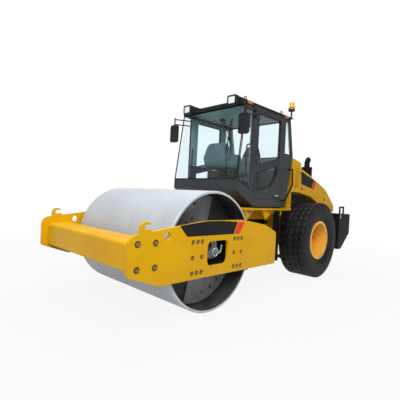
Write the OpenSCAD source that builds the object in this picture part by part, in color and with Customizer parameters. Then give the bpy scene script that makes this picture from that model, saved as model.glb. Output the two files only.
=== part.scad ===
// Single-drum road roller: a yoke with a smooth steel drum in front, an articulated hitch,
// and a rear frame with a glazed cab, a tilting hood and two drive wheels.
// +X is forward, +Y is left, +Z is up. The origin is on the ground, under the middle of the machine.

/* [Overall] */
// Drum axle to rear axle
wheelbase = 3050; // [2950:5:3300]
// Drum axle to the front edge of the yoke
front_reach = 1300; // [1260:5:1400]
// Rear axle to the rear face of the bumper
rear_reach = 1750; // [1650:5:1900]
// Drum axle to the steering pin
pivot_setback = 1525; // [1500:5:1560]

/* [Drum] */
// Diameter of the drum
drum_d = 1523; // [1480:1:1540]
// Width of the drum
drum_w = 2130; // [1950:5:2200]
// Thickness of the drum shell
drum_wall = 35; // [20:1:50]
// Depth of the end walls below the drum's rims
drum_recess = 290; // [270:5:330]
// Thickness of the end walls
web_t = 30; // [20:1:40]
// Thickness of the drive carriers on the end walls
carrier_t = 25; // [15:1:35]
// Radius of the stub shafts
stub_r = 90; // [70:1:110]

/* [Yoke] */
// Gap between the drum's rims and the yoke plates
plate_gap = 45; // [35:1:60]
// Thickness of the yoke plates
plate_t = 40; // [30:1:50]
// Drum axle to the rear edge of the yoke plates
yoke_tail = 1305; // [1290:1:1320]
// Height of the yoke plates' crown
yoke_top = 1158; // [1120:1:1180]
// Height of the yoke plates' lower edge
yoke_bottom = 485; // [460:1:500]
// Lower height of the yoke's nose
nose_low = 630; // [600:1:640]
// Upper height of the yoke's nose
nose_top = 1028; // [1000:1:1050]
// Height of the yoke's rear corner
tail_top = 958; // [945:1:990]
// Length of the motor windows
window_l = 380; // [320:5:420]
// Height of the motor windows
window_h = 300; // [260:5:320]
// Radius of the lifting holes
lift_hole_r = 45; // [35:1:55]
// Free space between the drum and the cross beams
beam_gap = 100; // [80:5:110]
// Length of the front beam
front_beam_l = 354; // [330:1:370]
// Lower height of the front beam
front_beam_low = 640; // [635:1:660]
// Upper height of the front beam
front_beam_top = 944; // [920:1:960]
// Length of the rear beam
rear_beam_l = 370; // [340:5:390]
// Lower height of the rear beam
rear_beam_low = 510; // [500:5:530]
// Upper height of the rear beam
rear_beam_top = 935; // [925:1:945]
// Gap between the scraper blades and the drum
scraper_gap = 12; // [8:1:20]

/* [Drum supports] */
// Thickness of the support plates
support_t = 25; // [15:1:30]
// Radius of the rubber buffers
buffer_r = 60; // [45:1:70]
// Length of the rubber buffers
buffer_l = 100; // [80:1:105]
// Radius of the bearing housings
bearing_r = 150; // [125:1:170]
// Radius of the hydraulic motors
motor_r = 95; // [80:1:110]

/* [Hitch] */
// Height of the oscillation axis
hitch_z = 755; // [745:1:765]
// Radius of the oscillation shaft
swing_r = 110; // [90:1:120]
// Radius of the steering pins
pin_r = 60; // [45:1:70]
// Thickness of the hitch ears
ear_t = 40; // [30:1:45]
// Clear height between the hitch ears
ear_gap = 290; // [280:1:300]
// Steering pin to the eyes of the steering rods
arm_reach = 270; // [250:5:280]
// Radius of the steering barrels
barrel_r = 50; // [42:1:55]
// Radius of the steering rods
rod_r = 28; // [22:1:32]
// Steering pin to the pins of the steering barrels
anchor_setback = 750; // [740:1:760]

/* [Rear wheels] */
// Diameter over the tyres' lugs
tyre_d = 1430; // [1400:2:1450]
// Width of the tyres
tyre_w = 530; // [500:2:560]
// Distance between the tyres' middle planes
track_w = 1620; // [1600:5:1680]
// Radius of the rim flanges
flange_r = 367; // [350:1:380]
// Radius of the rim barrels
rim_r = 330; // [315:1:340]
// Width of the rims over the flanges
rim_w = 440; // [420:2:460]
// Radius of the wheel spindles
spindle_r = 90; // [70:1:110]

/* [Cab] */
// Width of the cab
cab_w = 1440; // [1400:5:1460]
// Rear axle to the front panel of the cab
cab_nose = 2225; // [2200:5:2250]
// Rear axle to the rearmost edge of the cab
cab_tail = 610; // [606:1:640]
// Height of the cab's underside
cab_low = 1320; // [1310:1:1340]
// Height of the roof's underside
roof_low = 2905; // [2880:1:2950]
// Thickness of the roof
roof_t = 80; // [60:1:100]
// Thickness of the cab's side walls and doors
wall_t = 50; // [40:1:60]
// Thickness of the cab's floor
floor_t = 40; // [30:1:50]
// Thickness of the glass
glass_t = 8; // [5:1:12]
// Rear axle to the doors' rear edges
door_tail = 1000; // [990:1:1020]
// Length of the doors
door_l = 764; // [750:1:770]
// Height of the doors' lower edges
door_low = 1450; // [1430:1:1470]
// Gap around the doors
door_gap = 6; // [5:0.5:10]
// Length of the post in front of a door
pillar_l = 115; // [100:1:130]
// Length of the post behind a door
post_l = 80; // [60:1:90]
// Height of the rear window's lower edge
belt_z = 2250; // [2240:1:2270]
// Lower height of the front panel
visor_low = 1570; // [1550:1:1590]
// Upper height of the front panel
visor_top = 1726; // [1700:1:1750]

/* [Hood] */
// Width of the hood and the cowl
hood_w = 1440; // [1400:5:1460]
// Thickness of the hood's skin
hood_wall = 25; // [18:1:30]
// Rear axle to the hood's rear edge, backwards
hood_tail = 1370; // [1360:1:1390]
// Height of the hood's lower edge
hood_low = 1243; // [1240:1:1250]
// Height of the hood's front edge
hood_top = 2100; // [2080:1:2120]
// Height of the cowl's front edge
cowl_top = 2236; // [2220:1:2240]
// Radius of the exhaust collar
collar_r = 110; // [90:1:120]
// Radius of the exhaust pipe
pipe_r = 56; // [45:1:65]

/* [Bumper] */
// Width of the bumper
bumper_w = 1860; // [1800:5:1900]
// Length of the bumper
bumper_l = 585; // [560:5:600]
// Height of the bumper's upper face
bumper_top = 1200; // [1190:1:1205]
// Height of the bumper's lower edge
bumper_low = 430; // [410:1:450]

/* [Hidden] */

$fn = 64;

// Radial clearance of shafts and pins in their bores
run = 0.3;
// Free space between pieces that move past each other
clear = 5;

yellow = [0.80, 0.62, 0.09];
orange = [0.85, 0.56, 0.06];
rim_yellow = [0.87, 0.64, 0.23];
dark = [0.20, 0.21, 0.22];
black = [0.10, 0.10, 0.10];
steel = [0.74, 0.76, 0.78];
iron = [0.45, 0.47, 0.48];
tint = [0.45, 0.62, 0.62, 0.4];
amber = [0.90, 0.50, 0.12];

total_l = front_reach + wheelbase + rear_reach;
drum_x = total_l / 2 - front_reach;
axle_x = drum_x - wheelbase;
pivot_x = drum_x - pivot_setback;
drum_r = drum_d / 2;
tyre_r = tyre_d / 2;

// Side planes of the front frame, all on the left
rim_y = drum_w / 2;
plate_in = rim_y + plate_gap;
plate_out = plate_in + plate_t;
web_out = rim_y - drum_recess;
support_out = plate_in - buffer_l;
support_in = support_out - support_t;
stub_end = support_in - clear;
housing_in = web_out + carrier_t + 60;

// Side planes of the rear frame
wheel_y = track_w / 2;
cab_y = cab_w / 2;
wall_y = cab_y - wall_t;
hood_y = hood_w / 2;

// Unit vector along v
function unit(v) = v / norm(v);

// Points of the arc of radius r that rounds corner b between a and c
function corner(a, b, c, r, n = 6) =
    let (u = unit(a - b), v = unit(c - b), half = acos(u * v) / 2)
    let (m = b + unit(u + v) * r / sin(half), p = b + u * r / tan(half), q = b + v * r / tan(half))
    let (s = atan2(p.y - m.y, p.x - m.x), e = atan2(q.y - m.y, q.x - m.x))
    let (turn = (e - s + 540) % 360 - 180)
    r == 0 ? [b] : [for (k = [0:n]) m + r * [cos(s + turn * k / n), sin(s + turn * k / n)]];

// Outline p with each corner i rounded by radius r[i]
function fillet(p, r) = [for (i = [0:len(p) - 1])
    each corner(p[(i + len(p) - 1) % len(p)], p[i], p[(i + 1) % len(p)], r[i])];

// Outline p with every corner rounded by radius r
function fillet_all(p, r) = fillet(p, [for (q = p) r]);

// Rectangle of size a by b around a centre, with rounded corners
function pad(centre, a, b, r) = fillet_all([for (s = [[-1, -1], [1, -1], [1, 1], [-1, 1]])
    centre + [s.x * a / 2, s.y * b / 2]], r);

// Outline in the X-Z plane, from y0 to y1
module side_slab(y0, y1) {
    translate([0, y1, 0]) rotate([90, 0, 0]) linear_extrude(y1 - y0) children();
}

// Outline in the Y-Z plane, from x0 to x1
module front_slab(x0, x1) {
    translate([x0, 0, 0]) rotate([90, 0, 90]) linear_extrude(x1 - x0) children();
}

// Outline in the X-Y plane, from z0 to z1
module flat_slab(z0, z1) {
    translate([0, 0, z0]) linear_extrude(z1 - z0) children();
}

// Round bar along Y
module bar_y(r, y0, y1) {
    translate([0, y0, 0]) rotate([-90, 0, 0]) cylinder(r = r, h = y1 - y0);
}

// Round bar along X
module bar_x(r, x0, x1) {
    translate([x0, 0, 0]) rotate([0, 90, 0]) cylinder(r = r, h = x1 - x0);
}

// Round bar from p to q
module bar(p, q, r) {
    v = q - p;
    translate(p) rotate([0, acos(v.z / norm(v)), atan2(v.y, v.x)]) cylinder(r = r, h = norm(v));
}

// Round tube path through a list of points, with ball corners
module tube_path(path, r) {
    for (i = [0:len(path) - 2]) bar(path[i], path[i + 1], r);
    for (i = [1:len(path) - 2]) translate(path[i]) sphere(r * 1.04);
}

// Box from corner a to corner b
module block(a, b) {
    translate(a) cube(b - a);
}

module on_both_sides() {
    children();
    mirror([0, 1, 0]) children();
}

module at_drum() {
    translate([drum_x, 0, 0]) children();
}

module at_axle() {
    translate([axle_x, 0, 0]) children();
}

module at_pivot() {
    translate([pivot_x, 0, 0]) children();
}

// Front frame

yoke_outline = fillet(
    [[front_reach, nose_low], [front_reach, nose_top], [240, yoke_top], [-490, yoke_top], [-1008, 1078],
     [-yoke_tail, tail_top], [-yoke_tail, yoke_bottom], [900, yoke_bottom]],
    [45, 110, 800, 800, 300, 60, 30, 120]);
lift_hole = [815, 1005];
hook_x = 1090;
hook_z = 1098;
hook_r = 68;
hook_slot = 26;

bolt_columns = [435, 360, 285, -310, -385, -460];
bolt_rows = [[917, [0, 1, 2, 3, 4, 5]], [736, [0, 2, 3, 5]], [557, [0, 1, 2, 3, 4, 5]]];
bolt_seat_r = 22;
beam_bolt_x = [1190, 970];
beam_bolt_z = [945, 690];
beam_bolt_seat_r = 31;
bolt_sink = 20;

// Sunk seats of the bolts that hold the drum supports and the front beam
module bolt_seats() {
    for (row = bolt_rows, k = row[1]) translate([bolt_columns[k], row[0]]) circle(bolt_seat_r);
    for (x = beam_bolt_x, z = beam_bolt_z) translate([x, z]) circle(beam_bolt_seat_r);
}

// Tie-down hook on a yoke plate, open to the rear
module hook_outline() {
    difference() {
        union() {
            translate([hook_x, hook_z]) circle(hook_r);
            translate([hook_x - hook_r, nose_top - hook_r]) square([2 * hook_r, hook_z - nose_top + hook_r]);
        }
        translate([hook_x, hook_z + hook_slot / 2]) circle(hook_slot);
        translate([hook_x - 2 * hook_r, hook_z - hook_slot / 2]) square([2 * hook_r, 2 * hook_slot]);
    }
}

module yoke_side() {
    at_drum() difference() {
        side_slab(plate_in, plate_out) difference() {
            union() {
                polygon(yoke_outline);
                hook_outline();
            }
            polygon(pad([0, drum_r], window_l, window_h, 70));
            translate(lift_hole) circle(lift_hole_r);
        }
        side_slab(plate_out - bolt_sink, plate_out + 1) bolt_seats();
    }
}

module yoke_side_left() {
    color(yellow) yoke_side();
}

module yoke_side_right() {
    color(yellow) mirror([0, 1, 0]) yoke_side();
}

front_beam_x = drum_r + beam_gap;
rear_beam_x = -drum_r - beam_gap;
rear_beam_end = rear_beam_x - rear_beam_l;

module yoke_front_beam() {
    color(orange) at_drum() side_slab(-plate_in, plate_in) polygon(fillet(
        [[front_beam_x, front_beam_low], [front_beam_x + front_beam_l, front_beam_low],
         [front_beam_x + front_beam_l, front_beam_top], [front_beam_x, front_beam_top]], [0, 20, 40, 0]));
}

swing_housing_r = swing_r + 75;
swing_face = rear_beam_end - 50;
swing_depth = 200;

module yoke_rear_beam() {
    color(yellow) at_drum() difference() {
        union() {
            side_slab(-plate_in, plate_in) polygon(fillet(
                [[rear_beam_end, rear_beam_low], [rear_beam_x, rear_beam_low],
                 [rear_beam_x, rear_beam_top], [rear_beam_end, rear_beam_top]], [30, 0, 0, 30]));
            translate([0, 0, hitch_z]) bar_x(swing_housing_r, swing_face, rear_beam_end);
        }
        translate([0, 0, hitch_z]) bar_x(swing_r + run, swing_face - 1, swing_face + swing_depth);
    }
}

scraper_t = 14;
scraper_w = drum_w - 60;
blade_drop = 65;
arm_t = 30;
arm_ys = [-930, -330, 330, 930];
blade_r = drum_r + scraper_gap;

// Tip of a scraper blade under a beam with its lower face at low
function blade_tip(low) = [sqrt(blade_r ^ 2 - (drum_r - low + blade_drop) ^ 2), low - blade_drop];

// Scraper blade with its arms, ahead of the drum, hung under a beam with its lower face at low
module scraper(low) {
    tip = blade_tip(low);
    side_slab(-scraper_w / 2, scraper_w / 2) polygon(
        [tip, tip + [70, -25], tip + [70 + scraper_t, -25 + scraper_t], tip + [10, 15]]);
    for (y = arm_ys) side_slab(y - arm_t / 2, y + arm_t / 2) polygon(
        [tip + [60, -28], tip + [140, -28], [front_beam_x + 130, low], [front_beam_x + 20, low], tip + [60, 0]]);
}

module scrapers() {
    color(yellow) at_drum() {
        scraper(front_beam_low);
        mirror([1, 0, 0]) scraper(rear_beam_low);
    }
}

support_l = 900;
support_h = 460;
buffer_x = 350;
buffer_z = 150;

module drum_supports() {
    color(dark) at_drum() translate([0, 0, drum_r]) on_both_sides() difference() {
        union() {
            side_slab(support_in, support_out) polygon(pad([0, 0], support_l, support_h, 90));
            bar_y(bearing_r, housing_in, support_in);
        }
        bar_y(stub_r + run, housing_in - 1, support_in);
    }
}

module rubber_buffers() {
    color(black) at_drum() translate([0, 0, drum_r]) on_both_sides()
        for (x = [-buffer_x, buffer_x], z = [-buffer_z, buffer_z])
            translate([x, 0, z]) bar_y(buffer_r, support_out, plate_in);
}

motor_l = buffer_l - 20;

module hydraulic_motors() {
    color(iron) at_drum() translate([0, 0, drum_r]) on_both_sides() {
        bar_y(motor_r, support_out, support_out + 25);
        bar_y(motor_r - 25, support_out, support_out + motor_l);
        block([-45, support_out, 0], [45, support_out + motor_l - 10, motor_r + 20]);
    }
}

// Drum

rim_chamfer = 8;

module drum_shell() {
    color(steel) at_drum() translate([0, 0, drum_r]) rotate([-90, 0, 0]) rotate_extrude($fn = 128) polygon(
        [[drum_r - drum_wall, -rim_y], [drum_r - rim_chamfer, -rim_y], [drum_r, -rim_y + rim_chamfer],
         [drum_r, rim_y - rim_chamfer], [drum_r - rim_chamfer, rim_y], [drum_r - drum_wall, rim_y]]);
}

web_r = drum_r - drum_wall - run;
stub_shoulder = 40;

module drum_ends() {
    color(dark) at_drum() translate([0, 0, drum_r]) on_both_sides() {
        bar_y(web_r, web_out - web_t, web_out);
        bar_y(stub_r + stub_shoulder, web_out, housing_in - clear);
        bar_y(stub_r, web_out, stub_end);
    }
}

carrier_r = web_r - 10;
carrier_hub_r = stub_r + stub_shoulder + run;
carrier_lean = 13;
carrier_edge = 60;

module drum_carriers() {
    color(iron) at_drum() translate([0, 0, drum_r]) on_both_sides()
        side_slab(web_out, web_out + carrier_t) difference() {
            circle(carrier_r, $fn = 96);
            circle(carrier_hub_r);
            rotate(carrier_lean) {
                translate([-carrier_r - carrier_edge, carrier_hub_r + 60]) square(carrier_r);
                translate([carrier_edge, -carrier_r - carrier_hub_r - 60]) square(carrier_r);
            }
        }
}

// Hitch

ear_low = hitch_z - ear_gap / 2;
ear_top = hitch_z + ear_gap / 2;
boss_r = pin_r + 50;
arm_low = ear_top + ear_t + clear;
arm_h = 40;
arm_w = 130;
eye_low = arm_low + arm_h + run;
eye_h = 60;
eye_r = 45;
cylinder_z = eye_low + eye_h / 2;
hitch_face = pivot_setback + swing_face - clear;

module hitch_block() {
    color(iron) at_pivot() {
        flat_slab(ear_low + clear, ear_top - clear) circle(boss_r + 10);
        translate([0, 0, hitch_z]) {
            bar_x(swing_r + 30, 0, hitch_face);
            bar_x(swing_r, hitch_face - 1, hitch_face + clear + swing_depth - clear);
        }
        flat_slab(ear_low - ear_t - 10, arm_low + arm_h) circle(pin_r);
        flat_slab(arm_low, arm_low + arm_h) polygon(pad([0, 0], arm_w, 2 * (arm_reach + eye_r + 15), 60));
    }
}

anchor_y = arm_reach + 20;
barrel_back = 70;
barrel_l = 410;
rod_back = 480;
anchor_pin_r = 25;
cylinder_lean = atan2(arm_reach - anchor_y, anchor_setback);
cylinder_l = norm([anchor_setback, arm_reach - anchor_y]);

// Places a left steering cylinder that is drawn along +X from its rear pin
module at_anchor() {
    translate([pivot_x - anchor_setback, anchor_y, cylinder_z]) rotate([0, 0, cylinder_lean]) children();
}

module steering_barrel() {
    at_anchor() difference() {
        union() {
            translate([0, 0, -eye_h / 2]) cylinder(r = eye_r, h = eye_h);
            bar_x(rod_r, 0, barrel_back + 1);
            bar_x(barrel_r, barrel_back, barrel_back + barrel_l);
            bar_x(barrel_r + 6, barrel_back + barrel_l - 50, barrel_back + barrel_l);
        }
        translate([0, 0, -eye_h]) cylinder(r = anchor_pin_r + run, h = 2 * eye_h);
        bar_x(rod_r + run, barrel_back + 20, barrel_back + barrel_l + 1);
    }
}

module steering_rod() {
    at_anchor() {
        bar_x(rod_r, cylinder_l - rod_back, cylinder_l);
        translate([cylinder_l, 0, -eye_h / 2]) cylinder(r = eye_r, h = eye_h);
        translate([cylinder_l, 0, eye_h / 2 - 1]) cylinder(r = anchor_pin_r, h = 12);
    }
}

module steering_barrel_left() {
    color(black) steering_barrel();
}

module steering_barrel_right() {
    color(black) mirror([0, 1, 0]) steering_barrel();
}

module steering_rod_left() {
    color(steel) steering_rod();
}

module steering_rod_right() {
    color(steel) mirror([0, 1, 0]) steering_rod();
}

// Rear frame, with X counted from the rear axle

pivot_ahead = wheelbase - pivot_setback;
anchor_ahead = pivot_ahead - anchor_setback;
bumper_face = -rear_reach + bumper_l;
mount_h = 20;
platform_top = cab_low - mount_h;
platform_t = 38;
platform_low = platform_top - platform_t;
platform_y = cab_y - 20;
platform_front = 1900;
platform_back = 300;
platform_wide = 540;
platform_waist = 500;
rail_in = 380;
rail_t = 30;
wall_x = 620;
engine_low = 950;
engine_x = [-800, 200];
notch_l = 200;
notch_top = tyre_r + 155;
gusset_y = platform_y - 60;
gussets = [[1660, 1900, 1855], [1050, 1430, 1320], [760, 1020, 900]];
gusset_h = 160;
beam_low = cylinder_z + eye_h / 2 + 40;
clevis_t = 34;

module rear_frame() {
    color(yellow) at_axle() difference() {
        union() {
            block([platform_wide, -platform_y, platform_low], [platform_front, platform_y, platform_top]);
            block([platform_back, -platform_waist, platform_low], [platform_wide, platform_waist, platform_top]);
            block([wall_x, -rail_in, ear_low - ear_t], [wall_x + rail_t, rail_in, platform_low]);
            for (z = [ear_low - ear_t, ear_top]) flat_slab(z, z + ear_t) {
                translate([pivot_ahead, 0]) circle(boss_r);
                polygon([[wall_x + rail_t, -rail_in], [wall_x + rail_t, rail_in],
                         [pivot_ahead, boss_r], [pivot_ahead, -boss_r]]);
            }
            for (x = [engine_x[0], engine_x[1] - 80])
                block([x, -rail_in, engine_low - 50], [x + 80, rail_in, engine_low]);
            on_both_sides() {
                side_slab(rail_in, rail_in + rail_t) polygon(
                    [[wall_x + rail_t, ear_low - ear_t], [wall_x + rail_t, platform_low],
                     [platform_back - 50, platform_low], [platform_back - 50, bumper_top - 40],
                     [bumper_face, bumper_top - 40], [bumper_face, bumper_low + 190],
                     [-notch_l - 50, bumper_low + 190], [-notch_l, notch_top], [notch_l, notch_top],
                     [notch_l + 50, ear_low - ear_t]]);
                block([wall_x, rail_in, beam_low], [platform_front - 20, rail_in + rail_t, platform_low]);
                for (g = gussets) side_slab(gusset_y, gusset_y + rail_t) polygon(
                    [[g[0], platform_low], [g[1], platform_low], [g[2], platform_low - gusset_h]]);
                for (z = [cylinder_z - eye_h / 2 - run - clevis_t, cylinder_z + eye_h / 2 + run])
                    flat_slab(z, z + clevis_t) {
                        translate([anchor_ahead, anchor_y]) circle(eye_r);
                        translate([wall_x, anchor_y - eye_r]) square([anchor_ahead - wall_x, 2 * eye_r]);
                    }
                translate([anchor_ahead, anchor_y, cylinder_z - eye_h / 2 - clevis_t])
                    cylinder(r = anchor_pin_r, h = eye_h + 2 * clevis_t);
            }
        }
        translate([pivot_ahead, 0, 0]) cylinder(r = pin_r + run, h = cab_low);
    }
}

axle_r = 110;
axle_pad = 100;
diff_r = 195;
spindle_in = wheel_y - rim_w / 2 - 30;
disc_in = wheel_y - 110;
disc_t = 25;
spindle_gap = 25;

module rear_axle() {
    color(iron) at_axle() translate([0, 0, tyre_r]) {
        bar_y(axle_r, -spindle_in, spindle_in);
        bar_y(spindle_r, -disc_in + spindle_gap, disc_in - spindle_gap);
        sphere(diff_r);
        on_both_sides() block([-axle_pad, rail_in - 20, 0], [axle_pad, rail_in + rail_t + 20, notch_top - tyre_r]);
    }
}

module engine_block() {
    color(iron) at_axle() block([engine_x[0], -300, engine_low], [engine_x[1], 300, engine_low + 620]);
}

cowl_back = 276;
cowl_front = 580;
cowl_low = 1610;
cowl_rear_top = cowl_top - 58;

grille_x = 310;
grille_z = cowl_low + 80;
grille_slot = [34, 22];
grille_pitch = [48, 40];
grille_count = [4, 10];

// Slots of the cowl's side grille
module grille() {
    for (i = [0:grille_count.x - 1], j = [0:grille_count.y - 1])
        translate([grille_x + i * grille_pitch.x, grille_z + j * grille_pitch.y]) square(grille_slot);
}

module engine_cowl() {
    color(yellow) at_axle() {
        difference() {
            side_slab(-hood_y, hood_y) polygon([[cowl_back, cowl_low], [cowl_front, cowl_low],
                                                [cowl_front, cowl_top], [cowl_back, cowl_rear_top]]);
            side_slab(-hood_y + hood_wall, hood_y - hood_wall) polygon(
                [[cowl_back - 1, cowl_low - 1], [cowl_front - hood_wall, cowl_low - 1],
                 [cowl_front - hood_wall, cowl_top - hood_wall - 5], [cowl_back - 1, cowl_rear_top - hood_wall]]);
            side_slab(-hood_w, hood_w) grille();
        }
        block([cowl_front - hood_wall, -hood_y + hood_wall, platform_top],
              [cowl_front, hood_y - hood_wall, cowl_low + 1]);
    }
}

hinge_x = -hood_tail - 30;
hinge_z = hood_low + 12;
hinge_y = 450;
lug_r = 25;
lug_t = 25;
hinge_pin_r = 12;
lug_foot = 50;
lug_back = min(hinge_x - lug_r, bumper_face - lug_foot);
loop_x = -rear_reach + 190;
loop_y = bumper_w / 2 - 120;
loop_w = 200;
loop_h = 150;
loop_r = 18;

module rear_bumper() {
    color(black) at_axle() difference() {
        union() {
            side_slab(-bumper_w / 2, bumper_w / 2) polygon(fillet(
                [[bumper_face, bumper_low], [bumper_face, bumper_top], [-rear_reach, bumper_top],
                 [-rear_reach, bumper_low + 330], [-rear_reach + 440, bumper_low]], [0, 0, 25, 25, 0]));
            on_both_sides() {
                side_slab(hinge_y - lug_t, hinge_y) {
                    translate([hinge_x, hinge_z]) circle(lug_r);
                    translate([lug_back, bumper_top]) square([hinge_x + lug_r - lug_back, hinge_z - bumper_top]);
                }
                translate([loop_x, loop_y, bumper_top]) tube_path([[-loop_w / 2, 0, -1], [-loop_w / 2, 0, loop_h],
                    [loop_w / 2, 0, loop_h], [loop_w / 2, 0, -1]], loop_r);
            }
        }
        translate([hinge_x, 0, hinge_z]) bar_y(hinge_pin_r + run, -hinge_y - 1, hinge_y + 1);
    }
}

step_x = [800, 1100];
step_y = [platform_y - 25, platform_y + 100];
step_low = 390;
step_t = 15;
treads = [440, 730, 1020];
tread_t = 25;

module access_steps() {
    color(black) at_axle() on_both_sides() {
        for (x = [step_x[0], step_x[1] - step_t])
            block([x, step_y[0], step_low], [x + step_t, step_y[1], platform_low]);
        for (z = treads) block([step_x[0], step_y[0], z], [step_x[1], step_y[1], z + tread_t]);
    }
}

grab_r = 14;
grab_off = 80;

module grab_bars() {
    color(black) at_axle() on_both_sides() tube_path(
        [[740, cab_y, 2010], [740, cab_y + grab_off, 2010], [715, cab_y + grab_off, 1740],
         [945, cab_y + grab_off, 1440], [945, cab_y, 1440]], grab_r);
}

// Cab, with X counted from the rear axle

toe_x = cab_nose - 465;
floor_back = cab_tail + 195;
rear_lean = 130 / 624;
roof_back = cab_tail + (roof_low - belt_z) * rear_lean;
screen_lean = 0.132;
screen_top = cab_nose - (roof_low - visor_top) * screen_lean;
door_front = door_tail + door_l;
pillar_back = door_front + door_gap;
pillar_front = pillar_back + pillar_l;
post_front = door_tail - door_gap;
post_back = post_front - post_l;
header = 30;
door_top = roof_low - header - door_gap;
sash_slope = 0.398;
sash_z = visor_top - (cab_nose - pillar_front) * sash_slope;
mount_x = [900, 1650];

module cab_mounts() {
    color(black) at_axle() for (x = mount_x, y = [-560, 560])
        translate([x, y, platform_top]) cylinder(r = 60, h = mount_h);
}

module cab_floor() {
    floor_top = cab_low + floor_t;
    color(dark) at_axle() side_slab(-wall_y, wall_y) polygon(
        [[floor_back, cab_low], [toe_x, cab_low], [cab_nose, visor_low], [cab_nose, visor_top],
         [cab_nose - floor_t, visor_top], [cab_nose - floor_t, visor_low + floor_t / 2], [toe_x - 10, floor_top],
         [floor_back + floor_t, floor_top], [cab_tail + floor_t, belt_z], [cab_tail, belt_z]]);
}

side_outline = [[floor_back, cab_low], [toe_x, cab_low], [cab_nose, visor_low], [cab_nose, visor_top],
                [pillar_front, sash_z], [pillar_front, roof_low], [roof_back, roof_low], [cab_tail, belt_z]];
rear_frame_w = 45;
quarter_outline = [[post_back, belt_z + 20], [post_back, roof_low - header - 15],
                   [roof_back + rear_frame_w - 9, roof_low - header - 15],
                   [cab_tail + rear_frame_w + 9, belt_z + 20]];
door_hinge_y = cab_y + 14;
door_hinge_x = door_front + door_gap / 2;
door_hinge_zs = [door_low + 120, door_low + 620];
knuckle_r = 14;
knuckle_h = 60;
door_pin_r = 8;

module cab_side() {
    at_axle() difference() {
        union() {
            side_slab(wall_y, cab_y) difference() {
                polygon(side_outline);
                polygon(quarter_outline);
                translate([post_front, door_low - door_gap])
                    square([pillar_back - post_front, door_top - door_low + 2 * door_gap]);
            }
            for (z = door_hinge_zs) {
                translate([door_hinge_x, door_hinge_y, z]) cylinder(r = knuckle_r, h = knuckle_h);
                block([door_hinge_x, cab_y, z], [pillar_back + 60, cab_y + 10, z + knuckle_h]);
            }
        }
        for (z = door_hinge_zs)
            translate([door_hinge_x, door_hinge_y, z - 1]) cylinder(r = door_pin_r + run, h = knuckle_h + 2);
    }
}

module cab_side_left() {
    color(dark) cab_side();
}

module cab_side_right() {
    color(dark) mirror([0, 1, 0]) cab_side();
}

roof_front = cab_nose - 115;
roof_rear = cab_tail + 90;
roof_rim = 50;

module cab_roof() {
    color(dark) at_axle() {
        flat_slab(roof_low, roof_low + roof_t - 25)
            polygon(pad([(roof_front + roof_rear) / 2, 0], roof_front - roof_rear, cab_w, 60));
        flat_slab(roof_low + roof_t - 25, roof_low + roof_t) polygon(
            pad([(roof_front + roof_rear) / 2, 0], roof_front - roof_rear - 2 * roof_rim, cab_w - 2 * roof_rim, 60));
    }
}

module cab_glass() {
    glass_y = cab_y - glass_t;
    color(tint) at_axle() {
        side_slab(-glass_y, glass_y) polygon(
            [[cab_nose, visor_top], [screen_top, roof_low], [screen_top - glass_t, roof_low],
             [cab_nose - glass_t, visor_top]]);
        side_slab(-wall_y, wall_y) polygon(
            [[cab_tail, belt_z], [roof_back, roof_low], [roof_back + glass_t, roof_low], [cab_tail + glass_t, belt_z]]);
        on_both_sides() side_slab(glass_y, cab_y) {
            polygon([[cab_nose, visor_top], [screen_top, roof_low], [pillar_front, roof_low], [pillar_front, sash_z]]);
            polygon(quarter_outline);
        }
    }
}

stile = 62;
front_stile = 34;
rail_slope = 0.25;
rail_low = 1870;
rail_h = 115;
upper_pane = [[door_tail + stile, rail_low + rail_h + (door_l - stile) * rail_slope],
              [door_front - front_stile, rail_low + rail_h + front_stile * rail_slope],
              [door_front - front_stile, door_top - front_stile], [door_tail + stile, door_top - front_stile]];
lower_pane = [[door_front - front_stile, 1580], [door_front - front_stile, rail_low + front_stile * rail_slope],
              [door_tail + stile + 50, rail_low + (door_l - stile - 50) * rail_slope],
              [door_tail + stile + 60, 1870], [door_tail + stile + 220, 1655]];
upper_round = 30;
lower_round = 40;

module door() {
    at_axle() {
        side_slab(wall_y, cab_y) difference() {
            translate([door_tail, door_low]) square([door_l, door_top - door_low]);
            polygon(fillet_all(upper_pane, upper_round));
            polygon(fillet_all(lower_pane, lower_round));
        }
        for (z = door_hinge_zs) {
            translate([door_hinge_x, door_hinge_y, z + knuckle_h + run]) cylinder(r = knuckle_r, h = knuckle_h);
            translate([door_hinge_x, door_hinge_y, z + 5]) cylinder(r = door_pin_r, h = knuckle_h + 10);
            block([door_front - front_stile, cab_y, z + knuckle_h + run], [door_hinge_x, cab_y + 10, z + 2 * knuckle_h]);
        }
        block([door_tail + 40, cab_y, 1500], [door_tail + 200, cab_y + 12, 1545]);
    }
}

module door_glass() {
    pane_y = cab_y - wall_t / 2;
    at_axle() side_slab(pane_y - glass_t / 2, pane_y + glass_t / 2) {
        polygon(fillet_all(upper_pane, upper_round));
        polygon(fillet_all(lower_pane, lower_round));
    }
}

module door_left() {
    color(dark) door();
}

module door_left_glass() {
    color(tint) door_glass();
}

module door_right() {
    color(dark) mirror([0, 1, 0]) door();
}

module door_right_glass() {
    color(tint) mirror([0, 1, 0]) door_glass();
}

column_x = toe_x - 70;
seat_x = (cab_tail + column_x) / 2 + 50;
seat_w = 480;
seat_low = 1740;
seat_t = 110;
seat_l = 480;
back_h = 620;

module operator_seat() {
    color([0.45, 0.50, 0.56]) at_axle() {
        flat_slab(seat_low, seat_low + seat_t) polygon(pad([seat_x, 0], seat_l, seat_w, 60));
        side_slab(-seat_w / 2, seat_w / 2) polygon(fillet(
            [[seat_x - seat_l / 2, seat_low], [seat_x - seat_l / 2 + 110, seat_low],
             [seat_x - seat_l / 2 + 10, seat_low + seat_t + back_h], [seat_x - seat_l / 2 - 90, seat_low + seat_t + back_h]],
            [0, 0, 40, 40]));
    }
}

module seat_base() {
    color(black) at_axle() block([seat_x - 180, -170, cab_low + floor_t], [seat_x + 180, 170, seat_low]);
}

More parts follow.
